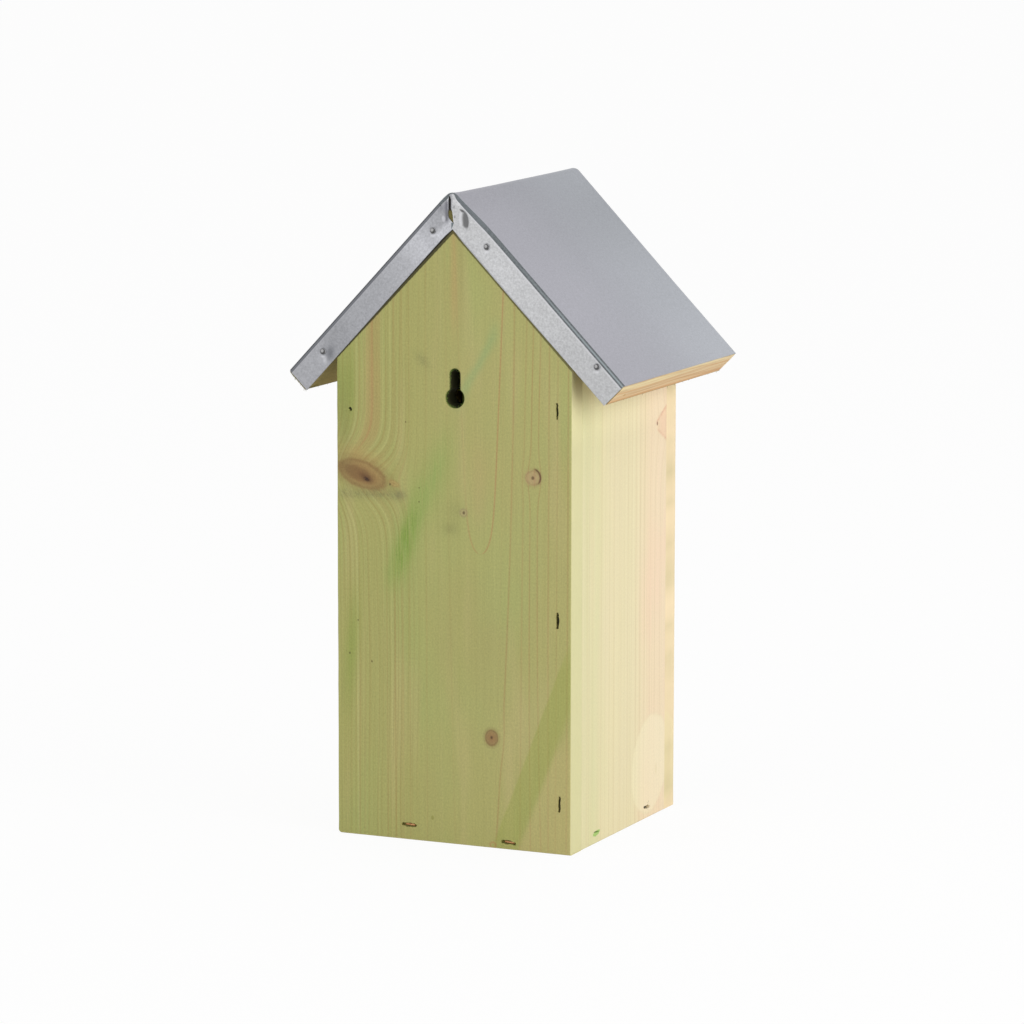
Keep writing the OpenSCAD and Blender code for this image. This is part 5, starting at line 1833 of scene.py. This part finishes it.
class OBJECT_OT_butterfly_fibres(bpy.types.Operator):
    """Fibres torn up round the staple scars, the keyhole and the sawn ends"""

    bl_idname = "object.butterfly_fibres"
    bl_label = "Torn fibres"
    bl_options = {"REGISTER", "UNDO"}

    def execute(self, context):
        scene = context.scene
        f, r = scene.butterfly_fixings, scene.butterfly_roof
        rng = random.Random(f.seed)
        pale = fibre_finish("torn_eave_pine", srgb(150, 142, 82), srgb(98, 92, 44))
        green = fibre_finish("torn_green_pine", srgb(120, 150, 62), srgb(84, 106, 38))
        dark = fibre_finish("torn_dark_pine", srgb(92, 84, 40), srgb(66, 60, 26))
        recipe = fibre_recipe()
        groups = (("scar_fibres", self.scar_places(rng), dark, 0.00016),
                  ("keyhole_fuzz", self.keyhole_places(rng, scene.butterfly_boards), green, 0.00009),
                  ("eave_splinters", self.eave_places(rng, r), pale, 0.00015))
        for name, places, material, thick in groups:
            reaches = {"reach": [p[3] * MM for p in places]}
            carrier = points_carrier(name + " places", [p[:3] for p in places], reaches)
            values = {"Thickness": thick, "Curl": 0.25, "Seed": f.seed, "Material": material}
            piece = recipe.make(name, carrier, values)
            dress(piece, material, "roof_wood" if name == "eave_splinters" else "panel_wood")
        return {"FINISHED"}

    def scar_places(self, rng):
        """Hairs from the rims of the scars, lying nearly flat along the grain."""
        places = []
        for facing, sides in ((1, (-1,)), (-1, (-1, 1))):
            for centre, direction, _ in end_scars(facing, sides):
                level = abs(direction[0]) > 0.5
                for _ in range(5 if level else 3):
                    t = rng.uniform(-0.5, 0.5) if level else rng.choice((-0.5, 0.5)) * rng.uniform(0.8, 1.0)
                    lift = rng.choice((-1, 1))
                    x = centre[0] + direction[0] * 7.0 * t + (0 if level else rng.uniform(-0.3, 0.3))
                    z = centre[1] + direction[1] * 7.0 * t + (lift * 0.9 if level else 0)
                    lean = lift if level else math.copysign(1, t)
                    out = (rng.uniform(-0.35, 0.35), facing * 0.12, lean)
                    places.append(((x, facing * (HALF_D - 0.25), z), (1, 0, 0), out, rng.uniform(0.8, 2.0)))
        for side in (-1, 1):
            for y in LEVEL_SIDES:
                for _ in range(9 if y < 0 else 0):
                    lift = rng.choice((-1, 1, 1))
                    place = (side * (HALF_W - 0.2), y + rng.uniform(-3.2, 3.2), SIDE_STAPLE_Z + lift * 0.6)
                    out = (side * 0.12, rng.uniform(-0.4, 0.4), lift)
                    places.append((place, (0, 1, 0), out, rng.uniform(0.8, 2.4)))
        return places

    def keyhole_places(self, rng, b):
        """Green fuzz on the keyhole's rim, thickest on its +X side and leaning a little towards -Z."""
        loop = keyhole_loop(b)
        normals = miters(loop)
        places = []
        for point, out in zip(loop, normals):
            thick_here = 4 if point[0] > b.keyhole_x / MM else 1
            for _ in range(thick_here):
                start = point + rng.uniform(-0.15, 0.15)
                aim = (out[0] + rng.uniform(-0.5, 0.5), rng.uniform(-0.5, 0.25),
                       out[1] + rng.uniform(-0.9, 0.5))
                place = (start[0], HALF_D - rng.uniform(0.15, 0.9), start[1])
                places.append((place, (0, 0, 1), aim, rng.uniform(0.4, 1.15)))
        return places

    def eave_places(self, rng, r):
        """Sawn hairs that hang from the eave ends' lower edges."""
        places = []
        long_ones = ((2.2, 1.1), (3.4, 1.9), (3.8, 1.3), (9.6, 1.2), (10.4, 2.1), (11.6, 1.5))
        ends = [(1, 61.2, n, reach) for n, reach in long_ones]
        ends += [(1, 61.5, n, 0.55 + 0.4 * (n % 1.7)) for n in np.arange(0.4, 12.0, 0.62)]
        ends += [(rng.choice((-1, 1)), rng.uniform(-76, 58), 11.5, rng.uniform(0.5, 1.4)) for _ in range(26)]
        for side, y, n, reach in ends:
            x, z = on_plane(BOARD_Z, side, r.slope / MM - 0.4, n, r)
            near = side * 0.5 if y > 61.4 else 0.0
            aim = (side * 0.05 + near + rng.uniform(-0.25, 0.1) * side, rng.uniform(-0.5, 0.2), -1.0)
            places.append((settle(x, y, z, r), (0, 1, 0), aim, reach))
        return places


# Where the photographer stood, in metres, the lens in millimetres on a 36 mm picture
PHOTO_LENS = 174.9644
PHOTO_EYE = (-0.96831147, 2.12376874, 0.51326606)
PHOTO_AIM = (-0.00163408, -0.00021786, 0.14858585)
PHOTO_ROLL = math.radians(0.0871)
SENSOR_WIDTH = 36.0

# The studio, in metres: each lamp's name, place, diameter and share of the key lamp's power
LAMPS = (("key_lamp", (-1.75, 0.3, 0.72), 1.7, 1.0), ("fill_lamp", (0.9, 1.5, 1.2), 1.4, 0.25))
LAMP_AIM = (0.0, 0.0, 0.15)
FLOOR_REACH = 30.0
WHITE = (1, 1, 1, 1)
FLOOR_GREY = (0.88, 0.88, 0.88, 1)
SKY_WHITE = (1.0, 0.995, 0.985, 1)


class OBJECT_OT_butterfly_stage(bpy.types.Operator):
    """Pale floor, soft studio light and the camera"""

    bl_idname = "object.butterfly_stage"
    bl_label = "Stage"
    bl_options = {"REGISTER", "UNDO"}

    def execute(self, context):
        scene = context.scene
        studio = scene.butterfly_studio
        self.floor(studio)
        self.light(scene, studio)
        self.camera(scene)
        scene.view_settings.view_transform = "Standard"
        return {"FINISHED"}

    def floor(self, studio):
        mesh = bpy.data.meshes.new("studio_floor")
        corners = [(a * FLOOR_REACH, b * FLOOR_REACH, 0) for a, b in ((-1, -1), (1, -1), (1, 1), (-1, 1))]
        mesh.from_pydata(corners, [], [[0, 1, 2, 3]])
        piece = bpy.data.objects.new("studio_floor", mesh)
        bpy.context.scene.collection.objects.link(piece)
        material = bpy.data.materials.new("studio_floor_white")
        material.use_nodes = True
        g = Graph(material.node_tree)
        g.tree.nodes.clear()
        share = seen_plainly(g) * studio.floor_glow
        plain = g.node("ShaderNodeBsdfDiffuse", None, {"Color": FLOOR_GREY})
        white = g.node("ShaderNodeEmission", None, {"Color": WHITE, "Strength": 1.0})
        both = g.node("ShaderNodeMixShader", None, {0: share, 1: plain.outputs[0], 2: white.outputs[0]})
        g.node("ShaderNodeOutputMaterial", None, {"Surface": both.outputs[0]})
        mesh.materials.append(material)

    def light(self, scene, studio):
        world = bpy.data.worlds.new("studio_sky")
        scene.world = world
        world.use_nodes = True
        g = Graph(world.node_tree)
        g.tree.nodes.clear()
        share = seen_plainly(g)
        even = g.node("ShaderNodeBackground", None, {"Color": SKY_WHITE, "Strength": studio.sky})
        white = g.node("ShaderNodeBackground", None, {"Color": WHITE, "Strength": 1.0})
        both = g.node("ShaderNodeMixShader", None, {0: share, 1: even.outputs[0], 2: white.outputs[0]})
        g.node("ShaderNodeOutputWorld", None, {"Surface": both.outputs[0]})
        for name, place, size, share_of_key in LAMPS:
            data = bpy.data.lights.new(name, "AREA")
            data.shape, data.size, data.energy = "DISK", size, studio.key * share_of_key
            lamp = bpy.data.objects.new(name, data)
            lamp.location = place
            lamp.rotation_mode = "QUATERNION"
            lamp.rotation_quaternion = (Vector(LAMP_AIM) - Vector(place)).to_track_quat("-Z", "Y")
            scene.collection.objects.link(lamp)

    def camera(self, scene):
        data = bpy.data.cameras.new("photo_camera")
        data.lens, data.sensor_width = PHOTO_LENS, SENSOR_WIDTH
        data.clip_start, data.clip_end = 0.05, 100.0
        made = bpy.data.objects.new("photo_camera", data)
        scene.collection.objects.link(made)
        aim = Vector(PHOTO_AIM) - Vector(PHOTO_EYE)
        made.rotation_mode = "QUATERNION"
        made.rotation_quaternion = aim.to_track_quat("-Z", "Y") @ Quaternion((0, 0, 1), PHOTO_ROLL)
        made.location = PHOTO_EYE
        scene.camera = made


class VIEW3D_PT_butterfly_house(bpy.types.Panel):
    """Lists the butterfly house's pieces and sizes"""

    bl_idname = "VIEW3D_PT_butterfly_house"
    bl_label = "Butterfly house"
    bl_space_type = "VIEW_3D"
    bl_region_type = "UI"
    bl_category = "Butterfly house"

    def draw(self, context):
        layout = self.layout
        for operator in OPERATORS:
            layout.operator(operator.bl_idname)
        for name, kind in SETTINGS.items():
            column = layout.column(align=True)
            for key in kind.__annotations__:
                column.prop(getattr(context.scene, name), key)


OPERATORS = (
    OBJECT_OT_butterfly_back_panel,
    OBJECT_OT_butterfly_front_panel,
    OBJECT_OT_butterfly_side_panels,
    OBJECT_OT_butterfly_floor_panel,
    OBJECT_OT_butterfly_roof_boards,
    OBJECT_OT_butterfly_zinc_sheet,
    OBJECT_OT_butterfly_nails,
    OBJECT_OT_butterfly_staples,
    OBJECT_OT_butterfly_brad,
    OBJECT_OT_butterfly_fibres,
    OBJECT_OT_butterfly_stage,
)


def register():
    for kind in (*SETTINGS.values(), *OPERATORS, VIEW3D_PT_butterfly_house):
        bpy.utils.register_class(kind)
    for name, kind in SETTINGS.items():
        setattr(bpy.types.Scene, name, PointerProperty(type=kind))


def unregister():
    for name in SETTINGS:
        delattr(bpy.types.Scene, name)
    for kind in (VIEW3D_PT_butterfly_house, *reversed(OPERATORS), *reversed(SETTINGS.values())):
        bpy.utils.unregister_class(kind)


def main():
    register()
    for operator in OPERATORS:
        group, name = operator.bl_idname.split(".")
        getattr(getattr(bpy.ops, group), name)()


if __name__ == "__main__":
    main()
